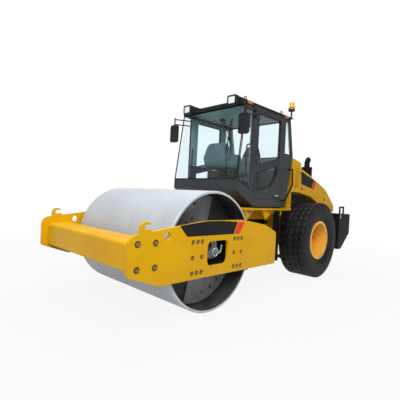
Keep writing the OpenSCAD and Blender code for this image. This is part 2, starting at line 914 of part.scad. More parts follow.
console_top = 1850;
console_w = 260;
side_console = [[-150, -560], [300, -320]];
side_console_h = 520;

module console() {
    floor_top = cab_low + floor_t;
    color(black) at_axle() {
        block([column_x - 50, -console_w / 2, floor_top], [column_x + 40, console_w / 2, console_top]);
        block([seat_x + side_console[0].x, side_console[0].y, floor_top],
              [seat_x + side_console[1].x, side_console[1].y, floor_top + side_console_h]);
    }
}

wheel_x = column_x - 70;
wheel_z = 2060;
wheel_tilt = -25;
wheel_r = 190;
column_r = 30;
boot_h = 40;

module steering_wheel() {
    color(black) at_axle() {
        translate([column_x, 0, console_top]) cylinder(r = column_r + 6, h = boot_h);
        bar([column_x, 0, console_top + boot_h / 2], [wheel_x, 0, wheel_z], column_r);
        translate([wheel_x, 0, wheel_z]) rotate([0, wheel_tilt, 0]) {
            rotate_extrude() translate([wheel_r, 0]) circle(14, $fn = 10);
            for (a = [0, 120, 240]) rotate([0, 90, a]) cylinder(r = 10, h = wheel_r);
            cylinder(r = column_r + 15, h = 40, center = true);
        }
    }
}

lamp_y = 510;
lamp_w = 175;
lamp_low = 2892;
lamp_h = 150;
lamp_l = 85;
lamp_back = 230;
lamp_rim = 22;
lens_sink = 15;

module work_lamps() {
    color(black) at_axle() {
        for (y = [-lamp_y, lamp_y]) {
            translate([roof_front, y, lamp_low]) difference() {
                front_slab(0, lamp_l) polygon(pad([0, lamp_h / 2], lamp_w, lamp_h, 20));
                front_slab(lamp_l - lens_sink, lamp_l + 1)
                    polygon(pad([0, lamp_h / 2], lamp_w - 2 * lamp_rim, lamp_h - 2 * lamp_rim, 10));
            }
            block([roof_front - lamp_back, y - lamp_w / 2 + 15, roof_low + roof_t],
                  [roof_front + 1, y + lamp_w / 2 - 15, lamp_low + lamp_h - 8]);
            translate([roof_rear, y, lamp_low + 20]) mirror([1, 0, 0])
                front_slab(0, lamp_l - 20) polygon(pad([0, lamp_h / 2 - 10], lamp_w - 20, lamp_h - 40, 20));
        }
    }
}

module marker_lamps() {
    color(amber) at_axle() on_both_sides() for (x = [roof_front - 110, roof_rear + 200])
        block([x - 45, cab_y, roof_low + 5], [x + 45, cab_y + 22, roof_low + 50]);
}

beacon_x = 800;
beacon_y = cab_y + 35;
beacon_low = 3070;
beacon_h = 147;
beacon_r = 52;

module beacon_base() {
    color(black) at_axle() {
        block([beacon_x - 36, cab_y, roof_low + 10], [beacon_x + 36, beacon_y + 25, roof_low + 25]);
        translate([beacon_x, beacon_y, roof_low + 20]) cylinder(r = 14, h = beacon_low - roof_low - 20);
        translate([beacon_x, beacon_y, beacon_low - 15]) cylinder(r = beacon_r + 6, h = 30);
    }
}

module beacon_lens() {
    color(amber) at_axle() translate([beacon_x, beacon_y, beacon_low + 15]) rotate_extrude() polygon(fillet(
        [[0, 0], [beacon_r, 0], [beacon_r - 4, beacon_h - 15], [0, beacon_h - 15]], [0, 0, 25, 0]));
}

mirror_x = cab_nose - 10;
mirror_y = cab_y + 75;
mirror_z = 2564;
mirror_w = 180;
mirror_h = 310;
mirror_tube_r = 10;
mirror_arms = [roof_low - 55, roof_low - 145];
arm_x = pillar_front - 35;
arm_rise = 25;
clamp_t = 32;

module mirrors() {
    color(black) at_axle() on_both_sides() {
        translate([mirror_x, mirror_y, mirror_z]) front_slab(-25, 25) polygon(pad([0, 0], mirror_w, mirror_h, 40));
        for (z = mirror_arms)
            bar([arm_x, cab_y + clamp_t / 2, z], [mirror_x, mirror_y, z - arm_rise], mirror_tube_r);
        bar([mirror_x, mirror_y, mirror_arms[0]],
            [mirror_x, mirror_y, mirror_z + mirror_h / 2 - 1], mirror_tube_r + 2);
        for (z = mirror_arms) block([arm_x - 20, cab_y, z - 25], [arm_x + 20, cab_y + clamp_t, z + 25]);
    }
}

// Hood, with X counted from the rear axle

hood_gap = 6;
hood_front = cowl_back - hood_gap;
hood_round = 45;
arch_back = -1030;

// Side profile of the hood, from a front edge to a lower edge, with its top and rear drawn in by an inset
function hood_profile(front, low, inset) = fillet(
    [[front, low], [front, hood_top - inset], [-170, hood_top - 120 - inset], [-880, hood_top - 350 - inset],
     [-hood_tail + 30 + inset, hood_low + 184 - inset], [-hood_tail + inset, low]],
    [0, 0, 0, 500, 120, 0]);

module hood_body(front, low, inset) {
    hull() {
        side_slab(-hood_y + hood_round + inset, hood_y - hood_round - inset) polygon(hood_profile(front, low, inset));
        side_slab(-hood_y + inset, hood_y - inset) polygon(hood_profile(front, low, hood_round + inset));
    }
}

// Open space over the wheels, under the hood's lower edge
arch_outline = fillet(
    [[hood_front + 10, hood_low - 10], [hood_front + 10, cowl_low + 2], [185, cowl_low - 20], [-150, cowl_low - 60],
     [-490, cowl_low - 180], [arch_back, hood_low], [arch_back, hood_low - 10]], [0, 0, 300, 600, 600, 0, 0]);

louvre_w = 760;
louvre_h = 16;
louvre_z = hood_low + 55;
louvre_pitch = 34;
louvres = 4;

module hood() {
    color(yellow) at_axle() {
        difference() {
            hood_body(hood_front, hood_low, 0);
            hood_body(hood_front + 10, hood_low - 10, hood_wall);
            for (k = [0:louvres - 1]) block([-hood_tail - 10, -louvre_w / 2, louvre_z + k * louvre_pitch],
                                            [-hood_tail + 90, louvre_w / 2, louvre_z + k * louvre_pitch + louvre_h]);
            side_slab(-hood_w, hood_w) polygon(arch_outline);
        }
        on_both_sides() {
            side_slab(hinge_y + clear, hinge_y + clear + lug_t) {
                translate([hinge_x, hinge_z]) circle(lug_r);
                translate([hinge_x, hinge_z - lug_r / 2]) square([-hood_tail - hinge_x + hood_wall / 2, 1.5 * lug_r]);
            }
            translate([hinge_x, 0, hinge_z]) bar_y(hinge_pin_r, hinge_y - lug_t - clear, hinge_y + clear + 1);
        }
    }
}

stack_x = -580;
stack_y = 400;
collar_top = 2190;
elbow_z = 2270;
elbow_r = 110;
elbow_turn = 60;
pipe_wall = 6;

module exhaust_stack() {
    color(iron) at_axle() {
        difference() {
            translate([stack_x, stack_y, hood_low]) cylinder(r = collar_r, h = collar_top - hood_low);
            hood_body(hood_front, hood_low - 10, 0);
        }
        translate([stack_x, stack_y, collar_top - 1]) cylinder(r = pipe_r, h = elbow_z - collar_top + 1);
        translate([stack_x - elbow_r, stack_y, elbow_z]) rotate([90, 0, 0])
            rotate_extrude(angle = elbow_turn) translate([elbow_r, 0]) difference() {
                circle(pipe_r);
                circle(pipe_r - pipe_wall);
            }
    }
}

// Rear wheels

module rim() {
    at_axle() translate([0, wheel_y, tyre_r]) rotate([-90, 0, 0]) {
        rotate_extrude() polygon([[rim_r - 15, -rim_w / 2], [flange_r, -rim_w / 2], [flange_r, -rim_w / 2 + 15],
            [rim_r, -rim_w / 2 + 15], [rim_r, rim_w / 2 - 15], [flange_r, rim_w / 2 - 15], [flange_r, rim_w / 2],
            [rim_r - 15, rim_w / 2]]);
        difference() {
            union() {
                translate([0, 0, disc_in - wheel_y]) cylinder(r = rim_r - 10, h = disc_t);
                translate([0, 0, -rim_w / 2 + 20]) cylinder(r = spindle_r + 60, h = rim_w / 2 - 20 + disc_in - wheel_y + 60);
            }
            translate([0, 0, -rim_w / 2]) cylinder(r = spindle_r + run, h = rim_w / 2 + disc_in - wheel_y);
        }
    }
}

tread_blocks = 26;
tread_depth = 34;
groove_r = tyre_r - tread_depth;
ring_in = 60;
ring_out = 90;
shoulder_y = tyre_w / 2 - 40;
shoulder_r = tyre_r - 90;
shoulder_cut = 22;
bead_y = rim_w / 2 - 16;
slot_share = 0.28;
slot_skew = 14;
skew_turn = tan(slot_skew) * tread_blocks / (2 * PI * tyre_r);
// The bore's flats stay clear of the round rim
bore_r = (rim_r + run) / cos((1 - slot_share) * 180 / tread_blocks);

// Rows of the tyre from its middle to its bore: radius on a block, radius in a slot, place across, turn in pitches
half_rows = [[tyre_r, groove_r, ring_in, skew_turn * ring_in],
             [groove_r, groove_r, ring_in, skew_turn * ring_in],
             [groove_r, groove_r, ring_out, 0.5 + skew_turn * ring_out],
             [tyre_r, groove_r, ring_out, 0.5 + skew_turn * ring_out],
             [tyre_r, groove_r, shoulder_y, 0.5 + skew_turn * shoulder_y],
             [shoulder_r, shoulder_r - shoulder_cut, tyre_w / 2 - 5, 0.5 + skew_turn * shoulder_y],
             [flange_r + 140, flange_r + 140, tyre_w / 2, 0.5],
             [flange_r + 10, flange_r + 10, bead_y, 0.5],
             [bore_r, bore_r, bead_y, 0.5]];
back_rows = [for (i = [len(half_rows) - 1:-1:0])
    [half_rows[i][0], half_rows[i][1], -half_rows[i][2], i < 2 ? -half_rows[i][3] : 1 - half_rows[i][3]]];
tyre_rows = concat(half_rows, back_rows);

// Points of one row: each block's two edges, then the bottom of the slot after it
function row_points(row) = [for (k = [0:tread_blocks - 1]) for (s = [[0, row[0]], [1 - slot_share, row[0]],
    [1 - slot_share / 2, row[1]]]) let (turn = 360 / tread_blocks * (k + s[0] + row[3]))
    [s[1] * cos(turn), s[1] * sin(turn), row[2]]];

module tyre() {
    rows = len(tyre_rows);
    stations = 3 * tread_blocks;
    at_axle() translate([0, wheel_y, tyre_r]) rotate([-90, 90, 0]) polyhedron(
        [for (row = tyre_rows) each row_points(row)],
        [for (j = [0:rows - 1]) for (i = [0:stations - 1]) let (on = (i + 1) % stations, next = (j + 1) % rows)
            each [[j * stations + i, next * stations + on, j * stations + on],
                  [j * stations + i, next * stations + i, next * stations + on]]]);
}

module rim_left() {
    color(rim_yellow) rim();
}

module tyre_left() {
    color(black) tyre();
}

module rim_right() {
    color(rim_yellow) mirror([0, 1, 0]) rim();
}

module tyre_right() {
    color(black) mirror([0, 1, 0]) tyre();
}

yoke_side_left();
yoke_side_right();
yoke_front_beam();
yoke_rear_beam();
scrapers();
drum_supports();
rubber_buffers();
hydraulic_motors();
drum_shell();
drum_ends();
drum_carriers();
hitch_block();
steering_barrel_left();
steering_barrel_right();
steering_rod_left();
steering_rod_right();
rear_frame();
rear_axle();
engine_block();
engine_cowl();
rear_bumper();
access_steps();
grab_bars();
cab_mounts();
cab_floor();
cab_side_left();
cab_side_right();
cab_roof();
cab_glass();
door_left();
door_left_glass();
door_right();
door_right_glass();
operator_seat();
seat_base();
console();
steering_wheel();
work_lamps();
marker_lamps();
beacon_base();
beacon_lens();
mirrors();
hood();
exhaust_stack();
rim_left();
tyre_left();
rim_right();
tyre_right();
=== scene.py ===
"""Looks of a single-drum road roller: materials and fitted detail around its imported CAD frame.

Metres, in the frame of the CAD: +X forward, +Y to the machine's left, +Z up from the ground.
"""

import itertools
import math

import bmesh
import bpy
from mathutils import Matrix, Vector


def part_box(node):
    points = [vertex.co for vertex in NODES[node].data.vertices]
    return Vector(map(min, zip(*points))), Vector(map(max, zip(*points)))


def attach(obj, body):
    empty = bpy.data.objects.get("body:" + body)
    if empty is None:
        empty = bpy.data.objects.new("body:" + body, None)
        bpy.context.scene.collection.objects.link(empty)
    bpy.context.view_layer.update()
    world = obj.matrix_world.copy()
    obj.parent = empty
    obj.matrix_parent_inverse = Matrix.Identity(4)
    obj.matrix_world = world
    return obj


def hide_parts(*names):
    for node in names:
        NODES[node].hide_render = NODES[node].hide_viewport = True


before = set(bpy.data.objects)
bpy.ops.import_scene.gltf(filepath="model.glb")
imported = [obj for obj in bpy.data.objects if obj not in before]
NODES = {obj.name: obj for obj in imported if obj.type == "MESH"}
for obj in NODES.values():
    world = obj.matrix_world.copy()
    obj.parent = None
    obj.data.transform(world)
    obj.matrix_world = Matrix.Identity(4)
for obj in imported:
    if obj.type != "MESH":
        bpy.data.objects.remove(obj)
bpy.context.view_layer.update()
scene = bpy.context.scene
SIDES = (1, -1)
SIDE_NAMES = tuple(zip(SIDES, ("left", "right")))


# Places that the pieces are fitted to, read from the frame

def middle(node):
    low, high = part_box(node)
    return (low + high) / 2


DRUM = middle("drum_shell")
DRUM_R = (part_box("drum_shell")[1] - DRUM).z
PLATE_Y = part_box("yoke_side_left")[1].y
AXLE = middle("rim_left")
TYRE_R = (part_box("tyre_left")[1] - AXLE).z
TYRE_W = 2 * (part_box("tyre_left")[1] - AXLE).y
CAB_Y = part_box("cab_roof")[1].y
ROOF_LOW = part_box("cab_roof")[0].z
ROOF_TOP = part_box("cab_roof")[1].z
# Where the painted glass veil inside the cab begins: above the sills, inside the walls and behind the
# windscreen's upper edge
SILL_Z = ROOF_LOW - 0.900
GLASS_VEIL_IN = 0.030
SCREEN_TOP_X = AXLE.x + 2.040
HOOD_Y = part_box("hood")[1].y


def drum_point(x, y, z):
    """Point with X counted forward from the drum's axle."""
    return Vector((DRUM.x + x, y, z))


def round_drum(radius, angle, y):
    """Point at a radius and an angle about the drum's axle."""
    return drum_point(radius * math.cos(angle), y, DRUM.z + radius * math.sin(angle))


def axle_point(x, y, z):
    """Point with X counted forward from the rear axle."""
    return Vector((AXLE.x + x, y, z))


# Materials

def rgb(red, green, blue):
    """Linear colour of 8-bit display values."""
    def linear(value):
        value /= 255
        return value / 12.92 if value <= 0.04045 else ((value + 0.055) / 1.055) ** 2.4
    return linear(red), linear(green), linear(blue), 1.0


class Finish:
    """A material in the making: its node tree, its main shader and the place on the piece."""

    def __init__(self, name, **sockets):
        self.material = bpy.data.materials.new(name)
        self.material.use_nodes = True
        self.tree = self.material.node_tree
        self.shader = self.tree.nodes["Principled BSDF"]
        for key, value in sockets.items():
            self.shader.inputs[key.replace("_", " ")].default_value = value
        self.place = self.add("TexCoord").outputs["Object"]

    def add(self, kind, inputs=None, **settings):
        made = self.tree.nodes.new("ShaderNode" + kind)
        for key, value in settings.items():
            setattr(made, key, value)
        for key, value in (inputs or {}).items():
            self.feed(made.inputs[key], value)
        return made

    def feed(self, socket, value):
        if isinstance(value, bpy.types.NodeSocket):
            self.tree.links.new(value, socket)
        else:
            socket.default_value = value

    def set(self, name, value):
        self.feed(self.shader.inputs[name], value)

    def math(self, operation, a, b=0.0):
        return self.add("Math", {0: a, 1: b}, operation=operation).outputs[0]

    def times(self, a, b):
        return self.math("MULTIPLY", a, b)

    def wave(self, value, rate):
        """Sine of a value in metres, at a rate in radians a metre."""
        return self.math("SINE", self.times(value, rate))

    def axes(self):
        return self.add("SeparateXYZ", {0: self.place}).outputs

    def scaled(self, x, y, z):
        return self.add("Mapping", {"Vector": self.place, "Scale": (x, y, z)}).outputs[0]

    def noise(self, scale, detail=3.0, place=None):
        inputs = {"Vector": place or self.place, "Scale": scale, "Detail": detail}
        return self.add("TexNoise", inputs).outputs[0]

    def span(self, value, start, end, low=0.0, high=1.0):
        inputs = {0: value, 1: start, 2: end, 3: low, 4: high}
        return self.add("MapRange", inputs).outputs[0]

    def blend(self, share, a, b):
        made = self.add("Mix", {0: share}, data_type="RGBA")
        self.feed(made.inputs[6], a)
        self.feed(made.inputs[7], b)
        return made.outputs[2]

    def patches(self, scale, detail, start, end):
        """Share that is 0 where a noise is below start, and 1 where it is above end."""
        return self.span(self.noise(scale, detail), start, end)

    def colour(self, share, a, b):
        self.set("Base Color", self.blend(share, a, b))

    def rough(self, value, start, end, low, high):
        self.set("Roughness", self.span(value, start, end, low, high))

    def edge(self, radius):
        """Share of an edge within a radius, and the rounded normal there."""
        round_off = self.add("Bevel", {"Radius": radius}, samples=4).outputs[0]
        flat = self.add("NewGeometry").outputs["True Normal"]
        agree = self.add("VectorMath", {0: round_off, 1: flat}, operation="DOT_PRODUCT").outputs["Value"]
        return self.span(agree, 0.985, 0.8), round_off

    def bump(self, height, strength, distance, normal=None):
        made = self.add("Bump", {"Height": height, "Strength": strength, "Distance": distance})
        if normal is not None:
            self.feed(made.inputs["Normal"], normal)
        self.set("Normal", made.outputs[0])

    def radius_about(self, centre):
        """Distance from the line through a centre along Y."""
        axes = self.axes()
        x = self.math("SUBTRACT", axes[0], centre.x)
        z = self.math("SUBTRACT", axes[2], centre.z)
        return self.math("SQRT", self.math("ADD", self.times(x, x), self.times(z, z)))


def paint(name, colour, shade, worn_and_highlight, gloss=0.38, coat=0.08, shine=0.22, glass_veil=None):
    """Sprayed paint: cloudy colour, lighter edges that are partly wear and partly painted highlight, dust low
    down and an orange-peel surface.

    A glass veil is a teal colour painted on the surfaces that lie inside the cab: a painted reflection and
    tint that stands in for the haze and colour of the glass in front of them.
    """
    made = Finish(name, Coat_Weight=coat, Coat_Roughness=0.12, Specular_IOR_Level=shine)
    clouds = made.patches(1.7, 4, 0.35, 0.7)
    base = made.blend(clouds, colour, shade)
    edge_wear_and_highlight, normal = made.edge(0.006)
    patch = made.patches(22, 5, 0.42, 0.62)
    # Lighter edges: partly wear, partly a painted highlight along the edges
    base = made.blend(made.times(made.times(edge_wear_and_highlight, patch), 0.55), base, worn_and_highlight)
    # Inside the cab the paint turns to the painted glass veil, which stands in for the glass's tint and
    # reflected haze
    if glass_veil:
        base = made.blend(glass_veil_share(made), base, glass_veil)
    height = made.span(made.axes()[2], 0.75, 0.1)
    dust = made.times(made.times(height, made.noise(9, 6)), 0.22)
    made.colour(dust, base, rgb(150, 132, 104))
    made.rough(made.noise(30, 4), 0.3, 0.75, gloss - 0.06, gloss + 0.1)
    made.bump(made.noise(420, 2), 0.10, 0.0008, normal)
    return made.material


def glass_veil_share(made):
    """1 on what lies between the cab's walls, behind its windscreen, above its sills and below its roof,
    where the glass veil is painted.
    """
    axes = made.axes()
    within = made.span(made.math("ABSOLUTE", axes[1]), CAB_Y - GLASS_VEIL_IN, CAB_Y - GLASS_VEIL_IN - 0.004)
    above = made.span(axes[2], SILL_Z, SILL_Z + 0.004)
    below = made.span(axes[2], ROOF_LOW + 0.004, ROOF_LOW + 0.002)
    behind = made.span(axes[0], SCREEN_TOP_X, SCREEN_TOP_X - 0.004)
    return made.times(made.times(within, behind), made.times(above, below))


def drum_steel():
    """Rolled steel with fine rings round it, bright on its rims, and darker inside the shell, where the
    darkness is painted shade.
    """
    made = Finish("drum_steel", Metallic=0.12, Specular_IOR_Level=0.3)
    rings = made.noise(1.0, 6, made.scaled(0.6, 95, 0.6))
    stains = made.patches(2.4, 6, 0.4, 0.72)
    bright = made.blend(made.span(rings, 0.3, 0.7), rgb(197, 203, 209), rgb(189, 196, 202))
    bright = made.blend(made.times(stains, 0.35), bright, rgb(158, 163, 168))
    # Painted shade: the inside of the shell is darker than the steel outside
    low = made.patches(6, 5, 0.4, 0.7)
    inside = made.blend(low, rgb(74, 76, 78), rgb(52, 53, 55))
    radius = made.radius_about(DRUM)
    made.colour(made.span(radius, DRUM_R - 0.034, DRUM_R - 0.030), inside, bright)
    made.rough(rings, 0.25, 0.75, 0.36, 0.54)
    made.bump(rings, 0.06, 0.001)
    return made.material


def cast_iron(name, colour, shade):
    """Sand-cast metal under thin paint: grainy, with darker patches."""
    made = Finish(name, Metallic=0.25)
    grain = made.noise(160, 5)
    edge_wear_and_highlight, normal = made.edge(0.004)
    base = made.blend(made.patches(7, 5, 0.35, 0.7), colour, shade)
    # Lighter edges: partly wear, partly a painted highlight along the edges
    made.colour(made.times(edge_wear_and_highlight, 0.4), base, rgb(168, 170, 170))
    made.rough(grain, 0.3, 0.7, 0.45, 0.68)
    made.bump(grain, 0.35, 0.002, normal)
    return made.material


def chrome(name, colour):
    """Bright plated metal with faint turning marks and smears."""
    made = Finish(name, Metallic=1.0)
    smear = made.noise(14, 6)
    made.colour(made.span(smear, 0.4, 0.7), colour, rgb(168, 172, 176))
    made.rough(smear, 0.3, 0.7, 0.12, 0.3)
    made.bump(made.noise(1.0, 3, made.scaled(600, 60, 60)), 0.05, 0.0004)
    return made.material


def rubber(name, colour, dusty, centre=None):
    """Black rubber: matt, faintly pitted and greyed by dust; a tyre has moulded rings on its walls."""
    made = Finish(name, Specular_IOR_Level=0.25)
    dust = made.patches(5, 7, 0.45, 0.78)
    made.colour(made.times(dust, 0.5), colour, dusty)
    made.rough(made.noise(40, 4), 0.3, 0.7, 0.52, 0.72)
    pits = made.noise(210, 3)
    if centre is not None:
        wave = made.wave(made.radius_about(centre), 420.0)
        pits = made.math("ADD", pits, made.times(wave, 0.35))
    made.bump(pits, 0.25, 0.0012)
    return made.material


def glass():
    """Blue-green tinted safety glass with faint smears, which lets light through to the cab."""
    made = Finish("tinted_glass", Transmission_Weight=1.0, IOR=1.25)
    smears = made.patches(1.3, 5, 0.35, 0.75)
    made.colour(smears, (0.88, 0.97, 0.985, 1), (0.92, 0.985, 0.995, 1))
    made.rough(made.noise(3.5, 6), 0.4, 0.8, 0.0, 0.03)
    shade = made.add("LightPath").outputs["Is Shadow Ray"]
    made.set("Alpha", made.math("SUBTRACT", 1.0, made.times(shade, 0.8)))
    return made.material


def plastic(name, colour, shade, grain=260, depth=0.25, gloss=0.45):
    """Moulded plastic with a leathery grain."""
    made = Finish(name, Specular_IOR_Level=0.22)
    edge_wear_and_highlight, normal = made.edge(0.003)
    base = made.blend(made.patches(8, 4, 0.3, 0.7), colour, shade)
    # Lighter edges: partly wear, partly a painted highlight along the edges
    made.colour(made.times(edge_wear_and_highlight, 0.25), base, rgb(120, 122, 124))
    cells = made.add("TexVoronoi", {"Vector": made.place, "Scale": grain}).outputs["Distance"]
    made.rough(cells, 0.0, 0.8, gloss - 0.06, gloss + 0.1)
    made.bump(cells, depth, 0.0008, normal)
    return made.material


def lens(name, colour, shade, painted_glow):
    """Coloured lamp plastic with moulded prisms, and a faint painted glow of its own."""
    made = Finish(name, Coat_Weight=0.8, Coat_Roughness=0.04, Roughness=0.18)
    axes = made.axes()
    across = made.wave(axes[1], 900.0)
    along = made.wave(axes[0], 900.0)
    prism = made.times(across, along)
    tone = made.blend(made.span(prism, -0.8, 0.8), colour, shade)
    made.set("Base Color", tone)
    # Painted glow: the lens shines faintly by itself though no lamp behind it is lit; the reflectors and the
    # gauges, which are no lamps, share it
    made.set("Emission Color", tone)
    made.shader.inputs["Emission Strength"].default_value = painted_glow
    made.bump(prism, 0.3, 0.001)
    return made.material


def cloth():
    """Woven seat cloth: crossing threads, a soft nap and slight fading."""
    made = Finish("seat_cloth", Sheen_Weight=0.35, Sheen_Roughness=0.5)
    axes = made.axes()
    warp = made.wave(axes[1], 2600.0)
    weft = made.wave(made.math("ADD", axes[0], axes[2]), 2600.0)
    weave = made.times(warp, weft)
    fade = made.patches(6, 5, 0.35, 0.7)
    base = made.blend(fade, rgb(112, 132, 146), rgb(92, 110, 124))
    base = made.blend(made.span(weave, -0.6, 0.9, 0.0, 0.5), base, rgb(66, 80, 92))
    made.set("Base Color", base)
    made.rough(weave, -1, 1, 0.78, 0.92)
    made.bump(weave, 0.35, 0.0008)
    return made.material


def film(name, colour, shade):
    """Printed film: smooth, with faint wrinkles and dust."""
    made = Finish(name, Coat_Weight=0.02, Coat_Roughness=0.2, Specular_IOR_Level=0.1)
    dust = made.patches(12, 6, 0.4, 0.75)
    made.colour(dust, colour, shade)
    made.rough(made.noise(25, 3), 0.3, 0.7, 0.34, 0.5)
    made.bump(made.noise(18, 2), 0.05, 0.001)
    return made.material


# Teal painted on the cab's inside: a painted reflection and tint standing in for the haze and colour of the
# glass in front of it
GLASS_VEIL = rgb(104, 138, 142)
FINISHES = {
    "yellow_paint": paint("yellow_paint", rgb(224, 171, 6), rgb(214, 159, 3), rgb(236, 200, 92),
                          coat=0.03, shine=0.12),
    "rim_paint": paint("rim_paint", rgb(248, 190, 78), rgb(240, 178, 64), rgb(250, 214, 140)),
    "cab_paint": paint("cab_paint", rgb(60, 64, 67), rgb(52, 55, 58), rgb(104, 108, 110), 0.42, 0.04,
                       glass_veil=GLASS_VEIL),
    "black_paint": paint("black_paint", rgb(24, 25, 25), rgb(18, 19, 20), rgb(70, 70, 68), 0.5, 0.0, 0.08),
    "drum_steel": drum_steel(),
    "cast_grey": cast_iron("cast_grey", rgb(122, 125, 126), rgb(94, 97, 98)),
    "rod_chrome": chrome("rod_chrome", rgb(206, 209, 212)),
    "tyre_rubber": rubber("tyre_rubber", rgb(25, 25, 26), rgb(52, 50, 47), AXLE),
    "rubber": rubber("rubber", rgb(30, 30, 31), rgb(58, 57, 54)),
    "tinted_glass": glass(),
    "amber_plastic": lens("amber_plastic", rgb(228, 112, 36), rgb(206, 88, 24), 0.15),
    "black_plastic": plastic("black_plastic", rgb(38, 39, 40), rgb(30, 31, 32)),
    "seat_cloth": cloth(),
}
DECAL_BLACK = film("decal_black", rgb(27, 26, 29), rgb(36, 35, 37))
DECAL_RED = film("decal_red", rgb(236, 66, 48), rgb(220, 56, 42))
BOLT_STEEL = cast_iron("bolt_steel", rgb(128, 116, 96), rgb(92, 84, 72))
CLEAR_LENS = lens("clear_lens", rgb(236, 240, 242), rgb(205, 212, 216), 0.25)
RED_LENS = lens("red_lens", rgb(190, 34, 28), rgb(150, 22, 20), 0.1)
YELLOW_LENS = lens("yellow_lens", rgb(232, 205, 40), rgb(214, 180, 30), 0.1)
BEACON_LENS = lens("beacon_lens", rgb(244, 168, 36), rgb(226, 140, 24), 0.25)
MIRROR = chrome("mirror_glass", rgb(196, 204, 210))
CARRIER_GREY = cast_iron("carrier_grey", rgb(150, 154, 156), rgb(126, 130, 132))
DASH_GREY = plastic("dash_grey", rgb(74, 98, 102), rgb(64, 87, 91))
ROOF_PAINT = paint("roof_paint", rgb(40, 43, 46), rgb(34, 36, 39), rgb(92, 96, 98), 0.46, 0.0, 0.12,
                   glass_veil=GLASS_VEIL)
DARK_PAINT = paint("drum_inside", rgb(68, 70, 71), rgb(54, 56, 57), rgb(104, 106, 107), 0.5, 0.0)


# Mesh building

def in_scene(name, mesh, material):
    """Object in the scene, made from a bmesh."""
    data = bpy.data.meshes.new(name)
    mesh.to_mesh(data)
    mesh.free()
    data.materials.append(material)
    made = bpy.data.objects.new(name, data)
    scene.collection.objects.link(made)
    return made


def piece(name, body, finish, mesh, smooth=35):
    """Turns a bmesh into a piece on a body, smooth where its faces meet at less than an angle.

    The finish is the name of a slot, or a material that is the piece's own.
    """
    bmesh.ops.recalc_face_normals(mesh, faces=mesh.faces)
    made = in_scene(name, mesh, FINISHES.get(finish, finish))
    made.data.polygons.foreach_set("use_smooth", [True] * len(made.data.polygons))
    made.data.set_sharp_from_angle(angle=math.radians(smooth))
    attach(made, body)
    return made


def facing(point, direction, turn=0.0):
    """Matrix that puts the origin at a point and +Z along a direction."""
    spin = Vector(direction).to_track_quat("Z", "Y").to_matrix().to_4x4()
    return Matrix.Translation(point) @ spin @ Matrix.Rotation(turn, 4, "Z")


def turns(count):
    """Equal angles round a full turn."""
    return [2 * math.pi * k / count for k in range(count)]


def spots_round(place, count, radius, lift=0.0):
    """Places on a circle round a place's Z."""
    return [place @ Matrix.Rotation(a, 4, "Z") @ Matrix.Translation((radius, 0, lift)) for a in turns(count)]


def skin(mesh, rings, capped=True):
    """Faces between closed rings of equally many points, and over the first and the last ring."""
    for a, b in zip(rings, rings[1:]):
        for k in range(len(a)):
            after = (k + 1) % len(a)
            mesh.faces.new([a[k], a[after], b[after], b[k]])
    if capped:
        mesh.faces.new(rings[0])
        mesh.faces.new(list(reversed(rings[-1])))


def revolve(mesh, profile, place, steps=24):
    """Closed solid of revolution: profile points are (radius, height) along the place's Z."""
    rings = []
    for radius, height in profile:
        spots = [(radius * math.cos(a), radius * math.sin(a), height) for a in turns(steps)]
        rings.append([mesh.verts.new(place @ Vector(spot)) for spot in (spots if radius else spots[:1])])
    for low, high in zip(rings, rings[1:]):
        for k, after in zip(range(steps), range(1, steps + 1)):
            ends = ((low, k), (low, after), (high, after), (high, k))
            corners = list(dict.fromkeys(ring[step % len(ring)] for ring, step in ends))
            if len(corners) > 2:
                mesh.faces.new(corners)
    for ring in (rings[0], rings[-1]):
        if len(ring) > 2:
            mesh.faces.new(ring)


def collar(mesh, place, radius, height, slope=0.0):
    """Band round a pipe or a lens."""
    inner, outer = radius - 0.002, radius + 0.004
    revolve(mesh, [(inner, 0), (outer, slope), (outer, height - slope), (inner, height)], place, 40)


def disc(mesh, place, radius, height, chamfer=0.001, steps=24):
    revolve(mesh, [(radius, 0), (radius, height - chamfer), (radius - chamfer, height)], place, steps)


def bolt(mesh, place, across, washer=True):
    """Hexagon bolt head with a chamfered crown on a round washer."""
    radius = across / 1.732
    lift = 0.0
    if washer:
        lift = across * 0.12
        disc(mesh, place, across * 0.95, lift, lift * 0.3)
    head = place @ Matrix.Translation((0, 0, lift))
    crown = across * 0.55
    revolve(mesh, [(radius, 0), (radius, crown * 0.8), (radius * 0.82, crown), (radius * 0.45, crown),
                   (radius * 0.4, crown * 0.86)], head, 6)


def raised(across, u, v, w):
    """Point (u, v) of an outline, raised by w along the axis that across names."""
    return {"X": (w, u, v), "Y": (u, w, v), "Z": (u, v, w)}[across]


def slab(mesh, outline, across, low, high):
    """Prism of a 2-D outline. across names the axis that it is pushed along, from low to high."""
    ends = [[mesh.verts.new(raised(across, u, v, w)) for u, v in outline] for w in (low, high)]
    skin(mesh, ends)


def box(mesh, corner_a, corner_b, chamfer=0.0):
    """Box between two opposite corners, given in any order."""
    low, high = (Vector(map(pick, corner_a, corner_b)) for pick in (min, max))
    made = bmesh.ops.create_cube(mesh, size=1.0)["verts"]
    for vert in made:
        vert.co = Vector(low[k] + (vert.co[k] + 0.5) * (high[k] - low[k]) for k in range(3))
    if chamfer:
        edges = list({edge for vert in made for edge in vert.link_edges})
        bmesh.ops.bevel(mesh, geom=edges, offset=chamfer, segments=2, affect="EDGES", profile=0.7)


